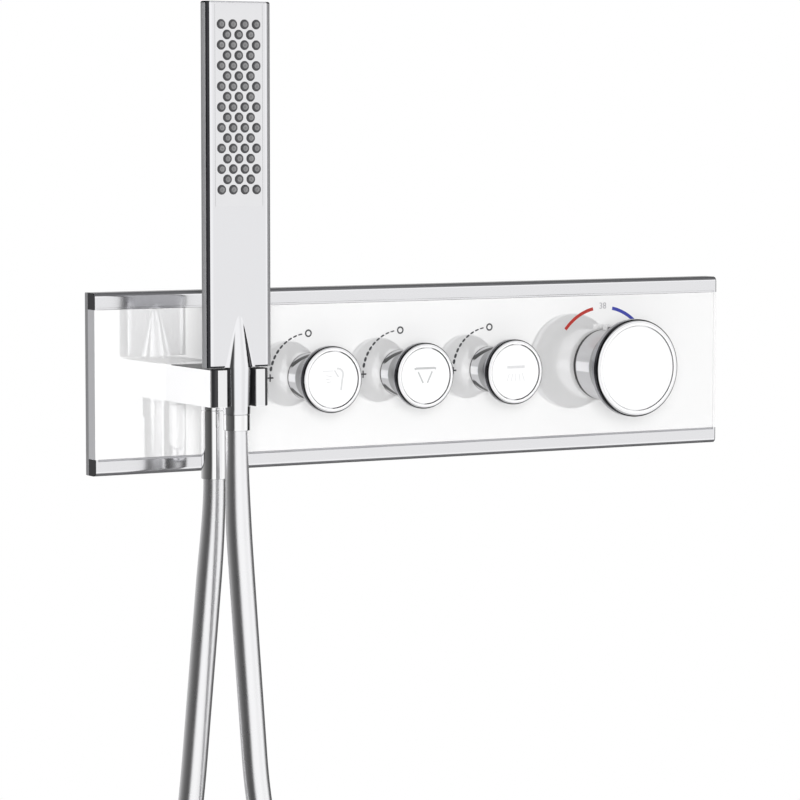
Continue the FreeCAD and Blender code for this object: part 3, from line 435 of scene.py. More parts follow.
def prism(bm, outline, lift, low, high, bevel=0.0, steps=3):
    # straight prism of a closed (u, v) outline; lift(u, v, w) gives the point, and the end edges are bevelled
    ends = [[bm.verts.new(lift(u, v, w)) for u, v in outline] for w in (low, high)]
    caps = [bm.faces.new(ring) for ring in ends]
    bridge(bm, *ends)
    if bevel > 0:
        rim = [edge for cap in caps for edge in cap.edges]
        bmesh.ops.bevel(bm, geom=rim, offset=bevel, segments=steps, profile=0.5, affect="EDGES", clamp_overlap=True)


def spin(bm, outline, place, sides):
    # closed outline of (radius, along) turned about a line; place(radius, angle, along) gives the point
    rings = []
    for radius, along in outline:
        if radius < near:
            rings.append([bm.verts.new(place(0, 0, along))])
        else:
            rings.append([bm.verts.new(place(radius, 2 * math.pi * i / sides, along)) for i in range(sides)])
    made = []
    for ring, after in zip(rings, rings[1:] + rings[:1]):
        if len(ring) == 1 and len(after) == 1:
            continue
        strip = []
        for i in range(sides):
            j = (i + 1) % sides
            corners = [ring[i % len(ring)], ring[j % len(ring)], after[j % len(after)], after[i % len(after)]]
            strip.append(bm.faces.new(list(dict.fromkeys(corners))))
        made.append(strip)
    return made


def outFrom(face, x, z=0.0):
    # for spin: radius and distance in front of a face, both in millimetres
    return lambda radius, angle, out: (x + radius * mm * math.cos(angle), face - out * mm,
                                       z + radius * mm * math.sin(angle))


def upright(x, y):
    # for spin: radius and height, both in millimetres
    return lambda radius, angle, up: (x + radius * mm * math.cos(angle), y + radius * mm * math.sin(angle), up * mm)


def turnedPiece(name, outline, place, sides, body, slot, node):
    bm = bmesh.new()
    spin(bm, rounded(outline), place, sides)
    shapedPiece(name, bm, [slot], body, node)


def splitAt(bm, place, normal):
    # new edges where a plane meets the shape
    bmesh.ops.bisect_plane(bm, geom=bm.verts[:] + bm.edges[:] + bm.faces[:], plane_co=place, plane_no=normal)


def headingOf(face):
    # degrees from straight in front towards the right
    return math.degrees(math.atan2(face.normal.x, -face.normal.y))


def cutAway(piece, bm, sharpAngle=28):
    # takes a closed shape out of a piece with an exact boolean
    bmesh.ops.recalc_face_normals(bm, faces=bm.faces)
    mesh = bpy.data.meshes.new("tool")
    bm.to_mesh(mesh)
    bm.free()
    tool = addObject("tool", mesh)
    modifier = piece.modifiers.new("cut", "BOOLEAN")
    modifier.operation, modifier.solver, modifier.object = "DIFFERENCE", "EXACT", tool
    whole, piece.data = piece.data, finalMesh(piece)
    piece.modifiers.clear()
    bpy.data.objects.remove(tool)
    bpy.data.meshes.remove(mesh)
    bpy.data.meshes.remove(whole)
    result = bmesh.new()
    result.from_mesh(piece.data)
    shadeSmooth(result, sharpAngle)
    result.to_mesh(piece.data)
    result.free()


# camera of the photograph: no shift, so the frame's middle is the lens's axis
cameraSet = {"place": (-1.18963, -2.04608, 0.16858), "yaw": 30.0, "pitchDown": 4.566, "lens": 154.54, "sensor": 36.0,
             "clipEnd": 60.0}
camera = addObject("camera", bpy.data.cameras.new("camera"))
camera.data.lens = cameraSet["lens"]
camera.data.sensor_width = cameraSet["sensor"]
camera.data.clip_end = cameraSet["clipEnd"]
camera.location = cameraSet["place"]
camera.rotation_euler = (math.radians(90 - cameraSet["pitchDown"]), 0, math.radians(-cameraSet["yaw"]))
scene.camera = camera
print("camera set")

# hose, in millimetres, but its length in metres; the route is the solid's: distance right of the holder's axis, y, z
hoseSet = {
    "diameter": 16.8, "length": 1.25, "sides": 48, "finest": 10, "endShare": 0.87, "endLong": 70.0,
    "liftFrom": 0.22, "liftTo": 0.80,
    "route": [
        (0, -44, -62), (0, -44, -82), (-5.4, -44, -140), (-11.5, -44, -205), (-18.4, -44, -280),
        (-29.8, -44.1, -351), (-48.0, -44.8, -413), (-68.5, -46.1, -466), (-80.5, -48.3, -514.5),
        (-67.5, -51.5, -561.5), (-34.0, -55.9, -595.5), (12.0, -60.9, -608.5), (58.5, -65.9, -596.5),
        (92.5, -70.1, -562.5), (105.0, -73.1, -514.5), (90.0, -75.1, -466), (61.5, -76.1, -413),
        (34.0, -76.2, -351), (14.9, -76.2, -280), (9.4, -76.2, -205), (3.8, -76.2, -130),
        (0, -76.2, -75), (0, -76.2, -27.8),
    ],
}


def smoothLine(points, finest):
    # points along the spline that has these as its control points
    curve = bpy.data.curves.new("route", "CURVE")
    curve.dimensions = "3D"
    curve.resolution_u = finest
    spline = curve.splines.new("NURBS")
    spline.points.add(len(points) - 1)
    for knot, point in zip(spline.points, points):
        knot.co = (*point, 1.0)
    spline.order_u = 3  # after the points are there, or the runs stay straight
    spline.use_endpoint_u = True
    carrier = addObject("route", curve)
    line = finalMesh(carrier)
    found = [vertex.co.copy() for vertex in line.vertices]
    bpy.data.objects.remove(carrier)
    bpy.data.curves.remove(curve)
    bpy.data.meshes.remove(line)
    return found


def hoseTube(line):
    # tube along a line, its rings carried without twist and drawn in a little towards both nuts
    s = SimpleNamespace(**hoseSet)
    last = len(line) - 1
    tangents = [(line[min(i + 1, last)] - line[max(i - 1, 0)]).normalized() for i in range(len(line))]
    runs = [0.0]
    for before, point in zip(line, line[1:]):
        runs.append(runs[-1] + (point - before).length)
    angles = [2 * math.pi * step / s.sides for step in range(s.sides)]
    side = tangents[0].orthogonal().normalized()
    bm = bmesh.new()
    rings = []
    for point, tangent, run in zip(line, tangents, runs):
        side = (side - tangent * side.dot(tangent)).normalized()
        other = tangent.cross(side)
        fromEnd = min(run, runs[-1] - run) / (s.endLong * mm)
        radius = s.diameter * mm / 2 * (s.endShare + (1 - s.endShare) * ease(fromEnd))
        rings.append([bm.verts.new(point + radius * (side * math.cos(a) + other * math.sin(a))) for a in angles])
    for ring, after in zip(rings, rings[1:]):
        bridge(bm, ring, after)
    bm.faces.new(rings[0])
    bm.faces.new(rings[-1])
    return meshFrom(bm, "showerHose", ["hose_silver"]), [run / runs[-1] for run in runs]


hoseLine = smoothLine([Vector((holderX + aside * mm, y * mm, z * mm)) for aside, y, z in hoseSet["route"]],
                      hoseSet["finest"])
hoseMesh, hoseShares = hoseTube(hoseLine)
hose = softPiece("showerHose", hoseMesh, "shower_hose")
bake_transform(hose)
# the hose turns back on itself, so how much of the lift a ring takes goes by its share of the length
liftShares = []
for share in hoseShares:
    lift = ease((share - hoseSet["liftFrom"]) / (hoseSet["liftTo"] - hoseSet["liftFrom"]))
    liftShares += [lift] * hoseSet["sides"]
print("hose made:", len(hoseLine), "rings")

# rails and end caps, in millimetres; darkFrom is the share of the rounding that stays bright, and the rest is painted
# dark as a reflection
railSet = {"stepHigh": 1.2, "stepDeep": 0.6, "wall": 2.0, "edge": 3.4, "inner": 0.25, "step": 0.1, "fine": 0.2,
           "darkFrom": 0.34, "steps": 12}
endCapSet = {"back": 0.6, "rim": 0.5, "lightShare": 0.3}


def railPiece(name, node, side):
    s = SimpleNamespace(**railSet)
    low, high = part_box(node)
    inner, outer = sorted((abs(low.z) / mm, abs(high.z) / mm))
    front, back = low.y / mm, high.y / mm
    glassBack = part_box("front_panel")[1].y / mm
    stepFace, stepTop = front + s.stepDeep, inner + s.stepHigh
    section = [
        (stepFace, inner, s.fine), (stepFace, stepTop, s.step), (front, stepTop, s.inner), (front, outer, s.edge),
        (back, outer, s.fine), (back, outer - s.wall), (front + s.wall, outer - s.wall),
        (front + s.wall, inner + s.wall), (glassBack, inner + s.wall), (glassBack, inner),
    ]
    bm = bmesh.new()
    prism(bm, rounded(section, s.steps), lambda u, v, w: (w, u * mm, side * v * mm), low.x, high.x)
    layers = ["rail_chrome", "railEdge", "stepSatin"]
    for face in bm.faces:
        centre = face.calc_center_median() / mm
        if centre.y < front + s.edge and side * centre.z > outer - s.edge * (1 - s.darkFrom):
            face.material_index = layers.index("railEdge")
        elif side < 0 and abs(centre.y - stepFace) < near and -centre.z < stepTop:
            face.material_index = layers.index("stepSatin")
    shapedPiece(name, bm, layers, "mixer", node)


def endCapPiece(name, node, side):
    # black polished at the rails' ends as a painted dark reflection; between them satin at the side and white at the
    # front
    s = SimpleNamespace(**endCapSet)
    low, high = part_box(node)
    edge, rim = railSet["edge"], s.rim * mm
    outer = high.x if side > 0 else low.x
    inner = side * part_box("top_rail")[1].x
    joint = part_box("top_rail")[0].z
    seam = high.y - s.lightShare * (high.y - low.y)
    section = [(low.y / mm, high.z / mm, edge), (high.y / mm, high.z / mm, s.back),
               (high.y / mm, low.z / mm, s.back), (low.y / mm, low.z / mm, edge)]
    bm = bmesh.new()
    prism(bm, rounded(section, railSet["steps"]), lambda u, v, w: (w, u * mm, v * mm),
          min(inner, outer), max(inner, outer), rim)
    for level in (-joint, joint):
        splitAt(bm, (0, 0, level), (0, 0, 1))
    splitAt(bm, (0, seam, 0), (0, 1, 0))
    darkAbove = high.z - edge * (1 - railSet["darkFrom"]) * mm
    layers = ["rail_chrome", "endSatin", "white_glass", "capSide", "edgeSatin", "railEdge"]
    for face in bm.faces:
        centre = face.calc_center_median()
        between = abs(centre.z) < joint
        atEnd = side * (centre.x - outer) > -rim - hair
        finish = "rail_chrome"
        if between and (not atEnd or centre.y < low.y + rim - hair):
            finish = "white_glass"
        elif atEnd and centre.y >= seam:
            finish = "edgeSatin"
        elif atEnd:
            finish = "endSatin" if between else "capSide"
        elif centre.y < low.y + edge * mm and abs(centre.z) > darkAbove:
            finish = "railEdge"
        face.material_index = layers.index(finish)
    shapedPiece(name, bm, layers, "mixer", node)


railPiece("topRail", "top_rail", 1)
railPiece("bottomRail", "bottom_rail", -1)
endCapPiece("leftEndCap", "left_end_cap", -1)
endCapPiece("rightEndCap", "right_end_cap", 1)
print("panel edges made")

# volume knobs, in millimetres: radii, and distances in front of the panel
knobSet = {
    "collar": 16.0, "collarWall": 1.6, "collarLong": 17.0, "collarThread": 13.2, "collarSeat": -0.5,
    "threadLong": 6.0, "collarEdges": (0.15, 0.3, 0.2),
    "neck": 15.6, "neckBack": 17.5, "neckWall": 2.0, "neckEdges": (0.2, 0.3, 0.25),
    "cap": 22.4, "capBack": 28.0, "capEdge": 0.45, "sideSplit": 30.4, "capRound": 2.0, "capFront": 34.5,
    "pocket": 19.35, "pocketEdge": 0.15, "floor": 29.5, "recess": 8.75, "webFront": 24.0, "webBack": 21.0,
    "hub": 5.5, "hubBore": 4.1, "hubFront": 28.0, "hubBack": 20.0,
    "button": 18.75, "buttonBack": 32.2, "buttonFront": 34.3, "sides": 128, "steps": 8,
}
discSet = {"backEdge": 0.2, "frontEdge": 0.45}
paintSet = {"roundShare": 0.3, "behindSide": 0.5, "insideCap": 1.0, "pastGroove": 0.1}
knobLayers = ["knob_chrome", "capBack", "capSide", "lipWhite", "neckDark", "skirtSatin"]


def discOutline(radius, back, front):
    return [(0, back), (radius, back, discSet["backEdge"]), (radius, front, discSet["frontEdge"]), (0, front)]


def paintKnob(s, points, strips, satinTo=0.0):
    # which finish each turned strip of a knob takes; up to a distance from the panel the neck is satin with a painted
    # highlight and painted shade
    p = SimpleNamespace(**paintSet)
    for (radius, out), (nextRadius, nextOut), strip in zip(points, points[1:] + points[:1], strips):
        far = max(out, nextOut)
        finish = "knob_chrome"
        if allNear((out, nextOut), s.capBack):
            finish = "capBack"
        elif min(radius, nextRadius) > s.cap - p.roundShare * s.capRound and far > s.capBack + p.behindSide:
            # the cap's grip band is black as a painted dark reflection
            finish = "neckDark" if far < s.sideSplit + near else "capSide"
        elif allNear((out, nextOut), s.capFront):
            finish = "lipWhite"
        elif far <= s.capBack and max(radius, nextRadius) < s.cap - p.insideCap:
            finish = "skirtSatin" if far < satinTo + p.pastGroove else "neckDark"
        for face in strip:
            face.material_index = knobLayers.index(finish)


def collarsPiece():
    s = SimpleNamespace(**knobSet)
    inside = s.collar - s.collarWall
    footEdge, outerEdge, innerEdge = s.collarEdges
    outline = [
        (s.collarThread, s.collarSeat), (s.collar, s.collarSeat, footEdge), (s.collar, s.collarLong, outerEdge),
        (inside, s.collarLong, innerEdge), (inside, s.threadLong), (s.collarThread, s.threadLong),
    ]
    bm = bmesh.new()
    for x in knobX.values():
        spin(bm, rounded(outline), outFrom(panelFront, x), s.sides)
    shapedPiece("knobCollars", bm, ["collarSatin"], "mixer", "knob_collars")


def ringPiece(use):
    s = SimpleNamespace(**knobSet)
    inside = s.neck - s.neckWall
    innerEdge, outerEdge, underCap = s.neckEdges
    points = rounded([
        (inside, s.neckBack, innerEdge), (s.neck, s.neckBack, outerEdge), (s.neck, s.capBack, underCap),
        (s.cap, s.capBack, s.capEdge), (s.cap, s.sideSplit), (s.cap, s.capFront, s.capRound),
        (s.pocket, s.capFront, s.pocketEdge), (s.pocket, s.floor), (s.recess, s.floor), (s.recess, s.webFront),
        (s.hub, s.webFront), (s.hub, s.hubFront), (s.hubBore, s.hubFront), (s.hubBore, s.hubBack),
        (s.hub, s.hubBack), (s.hub, s.webBack), (inside, s.webBack),
    ], s.steps)
    bm = bmesh.new()
    paintKnob(s, points, spin(bm, points, outFrom(panelFront, knobX[use]), s.sides))
    shapedPiece("volumeRing_" + use, bm, knobLayers, "volume_" + use, "volume_ring_" + use)


def buttonPiece(use):
    s = SimpleNamespace(**knobSet)
    turnedPiece("volumeButton_" + use, discOutline(s.button, s.buttonBack, s.buttonFront),
                outFrom(panelFront, knobX[use]), s.sides, "button_" + use, "button_white", "volume_button_" + use)


def springPiece(use):
    # the coil of the solid, pressed together between the mixer and the button
    node = "button_spring_" + use
    mesh = nodes[node].data.copy()
    mesh.transform(nodes[node].matrix_world)
    spring = softPiece("buttonSpring_" + use, mesh, node)
    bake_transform(spring)


collarsPiece()
for use in uses:
    ringPiece(use)
    buttonPiece(use)
    springPiece(use)
print("volume knobs made")

# thermostat knob, in millimetres: radii or heights, and distances in front of the panel; the leaf's spans in degrees
thermostatSet = {
    "skirt": 25.0, "skirtWall": 1.7, "skirtBack": 0.4, "skirtEdges": (0.2, 0.4, 0.3),
    "groove": 23.5, "grooveWide": 1.0, "grooveDeep": 0.5, "grooveEdges": (0.15, 0.1),
    "cap": 34.1, "capBack": 37.0, "capEdge": 0.5, "sideSplit": 40.6, "capRound": 2.6, "capFront": 45.0,
    "pocket": 29.8, "pocketEdge": 0.15, "floor": 41.7, "hub": 9.1, "hubBore": 5.1, "hubBack": 20.35,
    "hubFront": 36.35, "webBack": 34.1, "head": 3.85, "shank": 2.1, "seat": 38.35,
    "face": 29.35, "faceFront": 44.7, "sides": 192, "steps": 8,
    "slotWide": 5.7, "slotBack": 2.15, "slotFront": 8.85, "slotCorner": 0.6, "slotPast": 2.0,
    "keyWide": 4.6, "keyTop": 27.2, "keyFrom": 9.3, "keyEdge": 0.6,
    "leaf": 23.15, "leafThick": 0.3, "leafWide": 4.0, "leafHalf": 23.0, "leafFlat": 7.5, "leafSteps": 16,
    "buttonFoot": 23.25, "buttonHalf": 2.5, "buttonCorner": 0.8, "buttonEdge": 0.45, "buttonSteps": 4,
}


def onKnob(u, v, w):
    # right of the thermostat's axis, above it and in front of the panel, in millimetres
    return thermostatX + u * mm, panelFront - w * mm, v * mm


def thermostatKnob():
    s = SimpleNamespace(**thermostatSet)
    inside, grooveEnd, grooveFloor = s.skirt - s.skirtWall, s.groove + s.grooveWide, s.skirt - s.grooveDeep
    innerEdge, outerEdge, underCap = s.skirtEdges
    grooveLip, grooveFoot = s.grooveEdges
    points = rounded([
        (inside, s.skirtBack, innerEdge), (s.skirt, s.skirtBack, outerEdge), (s.skirt, s.groove, grooveLip),
        (grooveFloor, s.groove, grooveFoot), (grooveFloor, grooveEnd, grooveFoot), (s.skirt, grooveEnd, grooveLip),
        (s.skirt, s.capBack, underCap), (s.cap, s.capBack, s.capEdge), (s.cap, s.sideSplit),
        (s.cap, s.capFront, s.capRound), (s.pocket, s.capFront, s.pocketEdge), (s.pocket, s.floor),
        (s.head, s.floor), (s.head, s.seat), (s.shank, s.seat), (s.shank, s.hubFront), (s.hubBore, s.hubFront),
        (s.hubBore, s.hubBack), (s.hub, s.hubBack), (s.hub, s.webBack), (inside, s.webBack),
    ], s.steps)
    bm = bmesh.new()
    paintKnob(s, points, spin(bm, points, outFrom(panelFront, thermostatX), s.sides), s.groove)
    knob = shapedPiece("thermostatKnob", bm, knobLayers, "thermostat", "thermostat_knob")
    slot = bmesh.new()
    half = s.slotWide / 2
    prism(slot, roundedBox(-half, half, -s.slotFront, -s.slotBack, s.slotCorner),
          lambda u, v, w: onKnob(u, w, -v), inside - s.slotPast, s.cap)
    cutAway(knob, slot)


def thermostatFace():
    s = SimpleNamespace(**thermostatSet)
    turnedPiece("thermostatFace", discOutline(s.face, s.floor, s.faceFront), outFrom(panelFront, thermostatX), s.sides,
                "thermostat", "button_white", "thermostat_face")


def thermostatKey():
    # key along the skirt that carries the safety button's stop; its dark grey is painted shade under the cap
    s = SimpleNamespace(**thermostatSet)
    half, foot = s.keyWide / 2, s.skirt - s.skirtWall / 2
    outline = [(-half, foot), (half, foot), (half, s.keyTop, s.keyEdge), (-half, s.keyTop, s.keyEdge)]
    bm = bmesh.new()
    prism(bm, rounded(outline), onKnob, s.keyFrom, s.capBack)
    shapedPiece("thermostatKey", bm, ["railEdge"], "thermostat")


def safetySpring():
    # leaf bowed along the skirt; a weight by each point's angle from the middle is worked out but not used
    s = SimpleNamespace(**thermostatSet)
    first, last = 90 + s.leafHalf, 90 - s.leafHalf
    bow = arcPoints((0, 0), s.leaf, first, last, s.leafSteps)
    bow += arcPoints((0, 0), s.leaf - s.leafThick, last, first, s.leafSteps)
    middle = (s.slotBack + s.slotFront) / 2
    bm = bmesh.new()
    prism(bm, bow, onKnob, middle - s.leafWide / 2, middle + s.leafWide / 2)
    spring = softPiece("safetySpring", meshFrom(bm, "safetySpring", ["spring_steel"]), "safety_spring")
    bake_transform(spring)
    for vertex in spring.data.vertices:
        turn = math.degrees(math.atan2(vertex.co.x - thermostatX, vertex.co.z))
        1 - ease((abs(turn) - s.leafFlat) / (s.leafHalf - s.leafFlat))


def safetyButton():
    s = SimpleNamespace(**thermostatSet)
    low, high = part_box("safety_button")
    middle, half = (low + high) / 2, (high.y - low.y) / mm / 2
    bm = bmesh.new()
    prism(bm, roundedBox(-s.buttonHalf, s.buttonHalf, -half, half, s.buttonCorner),
          lambda u, v, w: (middle.x + u * mm, middle.y + v * mm, w), s.buttonFoot * mm, high.z, s.buttonEdge * mm,
          s.buttonSteps)
    shapedPiece("safetyButton", bm, ["button_white"], "safety", "safety_button")


thermostatKnob()
thermostatFace()
thermostatKey()
safetySpring()
safetyButton()
print("thermostat knob made")

# holder arm, outlet and nuts, in millimetres; spans of painted dark reflection and of painted shade by the heading of
# a face, in degrees
armSet = {"corner": 4.5, "edge": 0.35, "seat": 10.15, "prongEdge": 0.5, "steps": 8, "seatSteps": 40,
          "padBehind": 54.0, "darkSpans": ((-65, -14), (11, 80)), "steep": 0.1, "backClear": 1.0}
outletSet = {"collar": 8.6, "spigot": 6.5, "tail": 5.6, "tailLong": 12.0, "bore": 3.4, "topEdge": 0.2, "footEdge": 0.5}
nutSet = {"outside": 8.6, "edge": 0.5, "lowerEdge": 0.25, "upperEdge": 0.3, "bore": 5.0, "upperBore": 4.0,
          "spigot": 6.1, "play": 0.1, "shadeShare": 0.4}
shadeSet = {"span": (25.0, 80.0), "steep": 0.5, "onConeTo": 40.0}
neckFoot = -17.4  # where the hand shower's neck meets its nut
fittingSides = 96


def armPiece():
    s = SimpleNamespace(**armSet)
    low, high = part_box("holder_arm")
    left, right, front, back = low.x / mm, high.x / mm, low.y / mm, high.y / mm
    x, y = holderX / mm, showerY / mm
    leftProng = [(left, back), (left, front, s.corner), (x - s.seat, front, s.prongEdge), (x - s.seat, y)]
    rightProng = [(x + s.seat, y), (x + s.seat, front, s.prongEdge), (right, front, s.corner), (right, back)]
    outline = rounded(leftProng, s.steps)[:-1] + arcPoints((x, y), s.seat, 180, 0, s.seatSteps)
    outline += rounded(rightProng, s.steps)[1:]
    bm = bmesh.new()
    prism(bm, outline, lambda u, v, w: (u * mm, v * mm, w), low.z, high.z, s.edge * mm)
    # the dark pad is painted shade from the hand shower
    padEnd = showerY + s.padBehind * mm  # a dark pad on top, under and behind the hand shower
    splitAt(bm, (0, padEnd, 0), (0, 1, 0))
    bmesh.ops.recalc_face_normals(bm, faces=bm.faces)
    layers = ["arm_chrome", "forkLiner"]
    for face in bm.faces:
        centre = face.calc_center_median()
        across, deep = abs(centre.x / mm - x), centre.y / mm
        inFork = across < s.seat + near and front + s.prongEdge - near < deep < back - s.backClear
        # dark corner spans are a painted dark reflection, and the fork's inside a painted shade
        atCorner = any(first < headingOf(face) < last for first, last in s.darkSpans)
        onPad = centre.z > high.z - s.edge * mm and centre.y < padEnd
        if onPad or abs(face.normal.z) < s.steep and (atCorner or inFork):
            face.material_index = layers.index("forkLiner")
    shapedPiece("holderArm", bm, layers, "mixer", "holder_arm")


def shadeRight(bm, inPlace, index):
    # painted shade: a dark strip on the right of the round pieces under the bar
    first, last = shadeSet["span"]
    bmesh.ops.recalc_face_normals(bm, faces=bm.faces)
    for face in bm.faces:
        facing = first < headingOf(face) < last and abs(face.normal.z) < shadeSet["steep"]
        if facing and inPlace(face.calc_center_median()):
            face.material_index = index


def outletPiece():
    s = SimpleNamespace(**outletSet)
    low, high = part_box("hose_outlet")
    top, foot = high.z / mm, low.z / mm
    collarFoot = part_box("lower_hose_nut")[1].z / mm
    outline = [(s.bore, top), (s.spigot, top), (s.spigot, armFoot), (s.collar, armFoot, s.topEdge),
               (s.collar, collarFoot, s.footEdge), (s.tail, collarFoot), (s.tail, foot), (s.bore, foot)]
    turnedPiece("hoseOutlet", outline, upright(holderX, outletY), fittingSides, "mixer", "arm_chrome", "hose_outlet")


def lowerNut():
    s = SimpleNamespace(**nutSet)
    low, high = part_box("lower_hose_nut")
    top, foot = high.z / mm, low.z / mm
    socket, socketFoot = outletSet["tail"] + s.play, top - outletSet["tailLong"] - s.play
    outline = [(socket, top), (s.outside, top, s.edge), (s.outside, foot, s.lowerEdge), (s.bore, foot),
               (s.bore, socketFoot), (socket, socketFoot)]
    turnedPiece("lowerHoseNut", outline, upright(holderX, outletY), fittingSides, "mixer", "arm_chrome",
                "lower_hose_nut")


def upperNut():
    s = SimpleNamespace(**nutSet)
    low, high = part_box("upper_hose_nut")
    top, foot = high.z / mm, low.z / mm
    outline = [(s.upperBore, top), (s.spigot, top), (s.spigot, neckFoot), (s.outside, neckFoot, s.edge),
               (s.outside, foot, s.upperEdge), (s.upperBore, foot)]
    bm = bmesh.new()
    spin(bm, rounded(outline), upright(holderX, showerY), fittingSides)
    layers = ["arm_chrome", "capSide"]
    shadeRight(bm, lambda centre: centre.x - holderX > s.shadeShare * s.outside * mm and centre.z < neckFoot * mm,
               layers.index("capSide"))
    shapedPiece("upperHoseNut", bm, layers, "hand_shower", "upper_hose_nut")


armPiece()
outletPiece()
lowerNut()
upperNut()
print("arm and hose ends made")

# hand shower, in millimetres; the painted reflection bands of its long edges in degrees round them
showerSet = {
    "flat": 18.0, "edge": 6.4, "deep": 4.7, "foot": 13.4, "top": 248.0, "rim": 1.1, "rimSteps": 5, "edgeSteps": 28,
    "gridStep": 0.25, "gridHalf": 56, "fineStep": 0.5, "fineLevels": 90, "coarseFrom": 46.0, "coarseStep": 4.0,
    "coarseLevels": 14, "middle": 180.0,
    "blackFrom": 38.0, "blackTo": 64.0, "satinTo": 66.0, "footLine": 14.8, "sharpAngle": 40,
    "neckFoot": 8.8, "neckWide": 9.6, "neckTop": 4.4, "coneTop": 49.0, "fillet": 5.5, "neckEdge": 0.4,
    "neckBore": 6.2, "boreTop": -7.3, "neckInside": 15.0, "neckWall": 1.0, "neckSides": 128,
    "opening": 17.1, "openingLow": 116.9, "openingHigh": 246.1, "openingDeep": 1.5,
}


def barSection(z):
    # half section of the bar at a height, front side, from its left tip to its right tip: (x, distance from the axis)
    s = SimpleNamespace(**showerSet)
    cone = s.neckWide + (s.neckTop - s.neckWide) * (z - s.foot) / (s.coneTop - s.foot)
    points = []
    for step in range(s.edgeSteps):
        t = math.pi / 2 * step / s.edgeSteps
        points.append((-s.flat - s.edge * math.cos(t), s.deep * math.sin(t)))
    tail = [(-x, y) for x, y in reversed(points)]
    grid = [s.gridStep * i for i in range(-s.gridHalf, s.gridHalf + 1)]
    hollow = max(0.0, s.fillet * (cone - s.deep) / (s.neckWide - s.deep))
    reach = math.sqrt(max(0.0, (cone + hollow) ** 2 - (s.deep + hollow) ** 2)) if cone > s.deep else 0.0
    for x in [-s.flat, -s.opening] + grid + [s.opening, s.flat]:
        if abs(x) >= reach:
            points.append((x, s.deep))
        elif abs(x) > reach * cone / (cone + hollow):  # the hollow fillet where the cone leaves the flat face
            points.append((x, s.deep + hollow - math.sqrt(hollow ** 2 - (reach - abs(x)) ** 2)))
        else:
            points.append((x, math.sqrt(cone ** 2 - x ** 2)))
    return points + tail


def barLevels():
    # heights of the bar's rings, and how far each is drawn in: close along the cone, then coarse, then the top's rim
    s = SimpleNamespace(**showerSet)
    heights = [s.foot + s.fineStep * i for i in range(s.fineLevels)]
    heights += [s.foot + s.coarseFrom + s.coarseStep * (i + 1) for i in range(s.coarseLevels)]
    levels = [(z, 0.0) for z in heights + [s.openingLow, s.middle, s.openingHigh]]
    for step in range(s.rimSteps + 1):
        turn = math.pi / 2 * step / s.rimSteps
        levels.append((s.top - s.rim * (1 - math.sin(turn)), s.rim * (1 - math.cos(turn))))
    return levels


def showerShell():
    # bar and cone in one skin of level rings, with a shallow bed for the spray plate, and the neck below
    s = SimpleNamespace(**showerSet)
    layers = ["shower_chrome", "edgeSatin", "capSide", "barBack", "endSatin"]
    polished, paintedGreyReflection, paintedDark, satinBack, satinRim = range(len(layers))
    levels = barLevels()
    bm = bmesh.new()
    rings = []
    for z, inset in levels:
        front = barSection(z)
        shrinkX, shrinkY = mm * (1 - inset / (s.flat + s.edge)), mm * (1 - inset / s.deep)
        around = [(x, -y) for x, y in front] + [(x, y) for x, y in reversed(front[1:-1])]
        rings.append([bm.verts.new((holderX + x * shrinkX, showerY + y * shrinkY, z * mm)) for x, y in around])
    count = len(rings[0])
    half = count // 2
    # long edges: grey outside and a black line beside the polished face, both painted reflection
    finishAt = {i: satinBack for i in range(half + s.edgeSteps, count - s.edgeSteps)}
    for step in range(s.edgeSteps):
        turn = 90 * (step + 0.5) / s.edgeSteps
        for i in (step, half + step, count - 1 - step):
            finishAt[i] = paintedGreyReflection if turn < s.blackFrom else paintedDark if turn < s.blackTo else polished
        finishAt[half - 1 - step] = paintedGreyReflection if turn < s.satinTo else polished
    bedFirst = s.edgeSteps + 1
    bedLast = half - bedFirst
    bed = []
    for (z, _), (nextZ, nextInset), ring, after in zip(levels, levels[1:], rings, rings[1:]):
        overBed = s.openingLow - near < z and nextZ < s.openingHigh + near
        for i in range(count):
            j = (i + 1) % count
            corners = (ring[i], ring[j], after[j], after[i])
            if overBed and bedFirst <= i < bedLast:
                bed.append(corners)
                continue
            flat = all(abs(vert.co.y - showerY) < s.deep * mm + hair for vert in (ring[i], after[i]))
            finish = finishAt.get(i, polished)
            if finish == satinBack and not flat:  # the cone is polished at the back too
                finish = polished
            if nextInset > 0:  # the rim across the top
                finish = {polished: satinRim, paintedGreyReflection: paintedDark}.get(finish, finish)
            # near the foot the flat faces take a painted shadow line
            elif flat and nextZ < s.footLine and finish != paintedGreyReflection:
                finish = paintedDark
            bm.faces.new(corners).material_index = finish
    sunk = {}
    for corners in bed:
        for vert in corners:
            if vert not in sunk:
                sunk[vert] = bm.verts.new(vert.co + Vector((0, s.openingDeep * mm, 0)))
        bm.faces.new([sunk[vert] for vert in corners])
    for corners in bed:
        for a, b in zip(corners, corners[1:] + corners[:1]):
            if any({a, b} <= set(face.verts) for face in a.link_faces):
                bm.faces.new([a, b, sunk[b], sunk[a]])
    # the bar's underside is painted black as shade, which the arm's top mirrors
    bm.faces.new(rings[0]).material_index = paintedDark
    bm.faces.new(rings[-1])
    atArm = s.neckFoot + (s.neckWide - s.neckFoot) * (armFoot - neckFoot) / (s.foot - neckFoot)
    neck = [(s.neckBore, neckFoot), (s.neckFoot, neckFoot, s.neckEdge), (atArm, armFoot), (s.neckWide, s.foot),
            (s.neckBore, s.neckInside), (0, s.neckInside), (0, s.boreTop), (s.neckBore, s.boreTop)]
    spin(bm, rounded(neck), upright(holderX, showerY), s.neckSides)

    def onNeckOrCone(centre):
        out = math.hypot(centre.x - holderX, centre.y - showerY) / mm
        below = centre.z < armFoot * mm and out > s.neckFoot - s.neckWall
        onCone = s.foot < centre.z / mm < shadeSet["onConeTo"] and (showerY - centre.y) / mm > s.deep + 2 * near
        return below or onCone

    shadeRight(bm, onNeckOrCone, paintedDark)
    shapedPiece("handShowerShell", bm, layers, "hand_shower", "hand_shower_shell", s.sharpAngle)


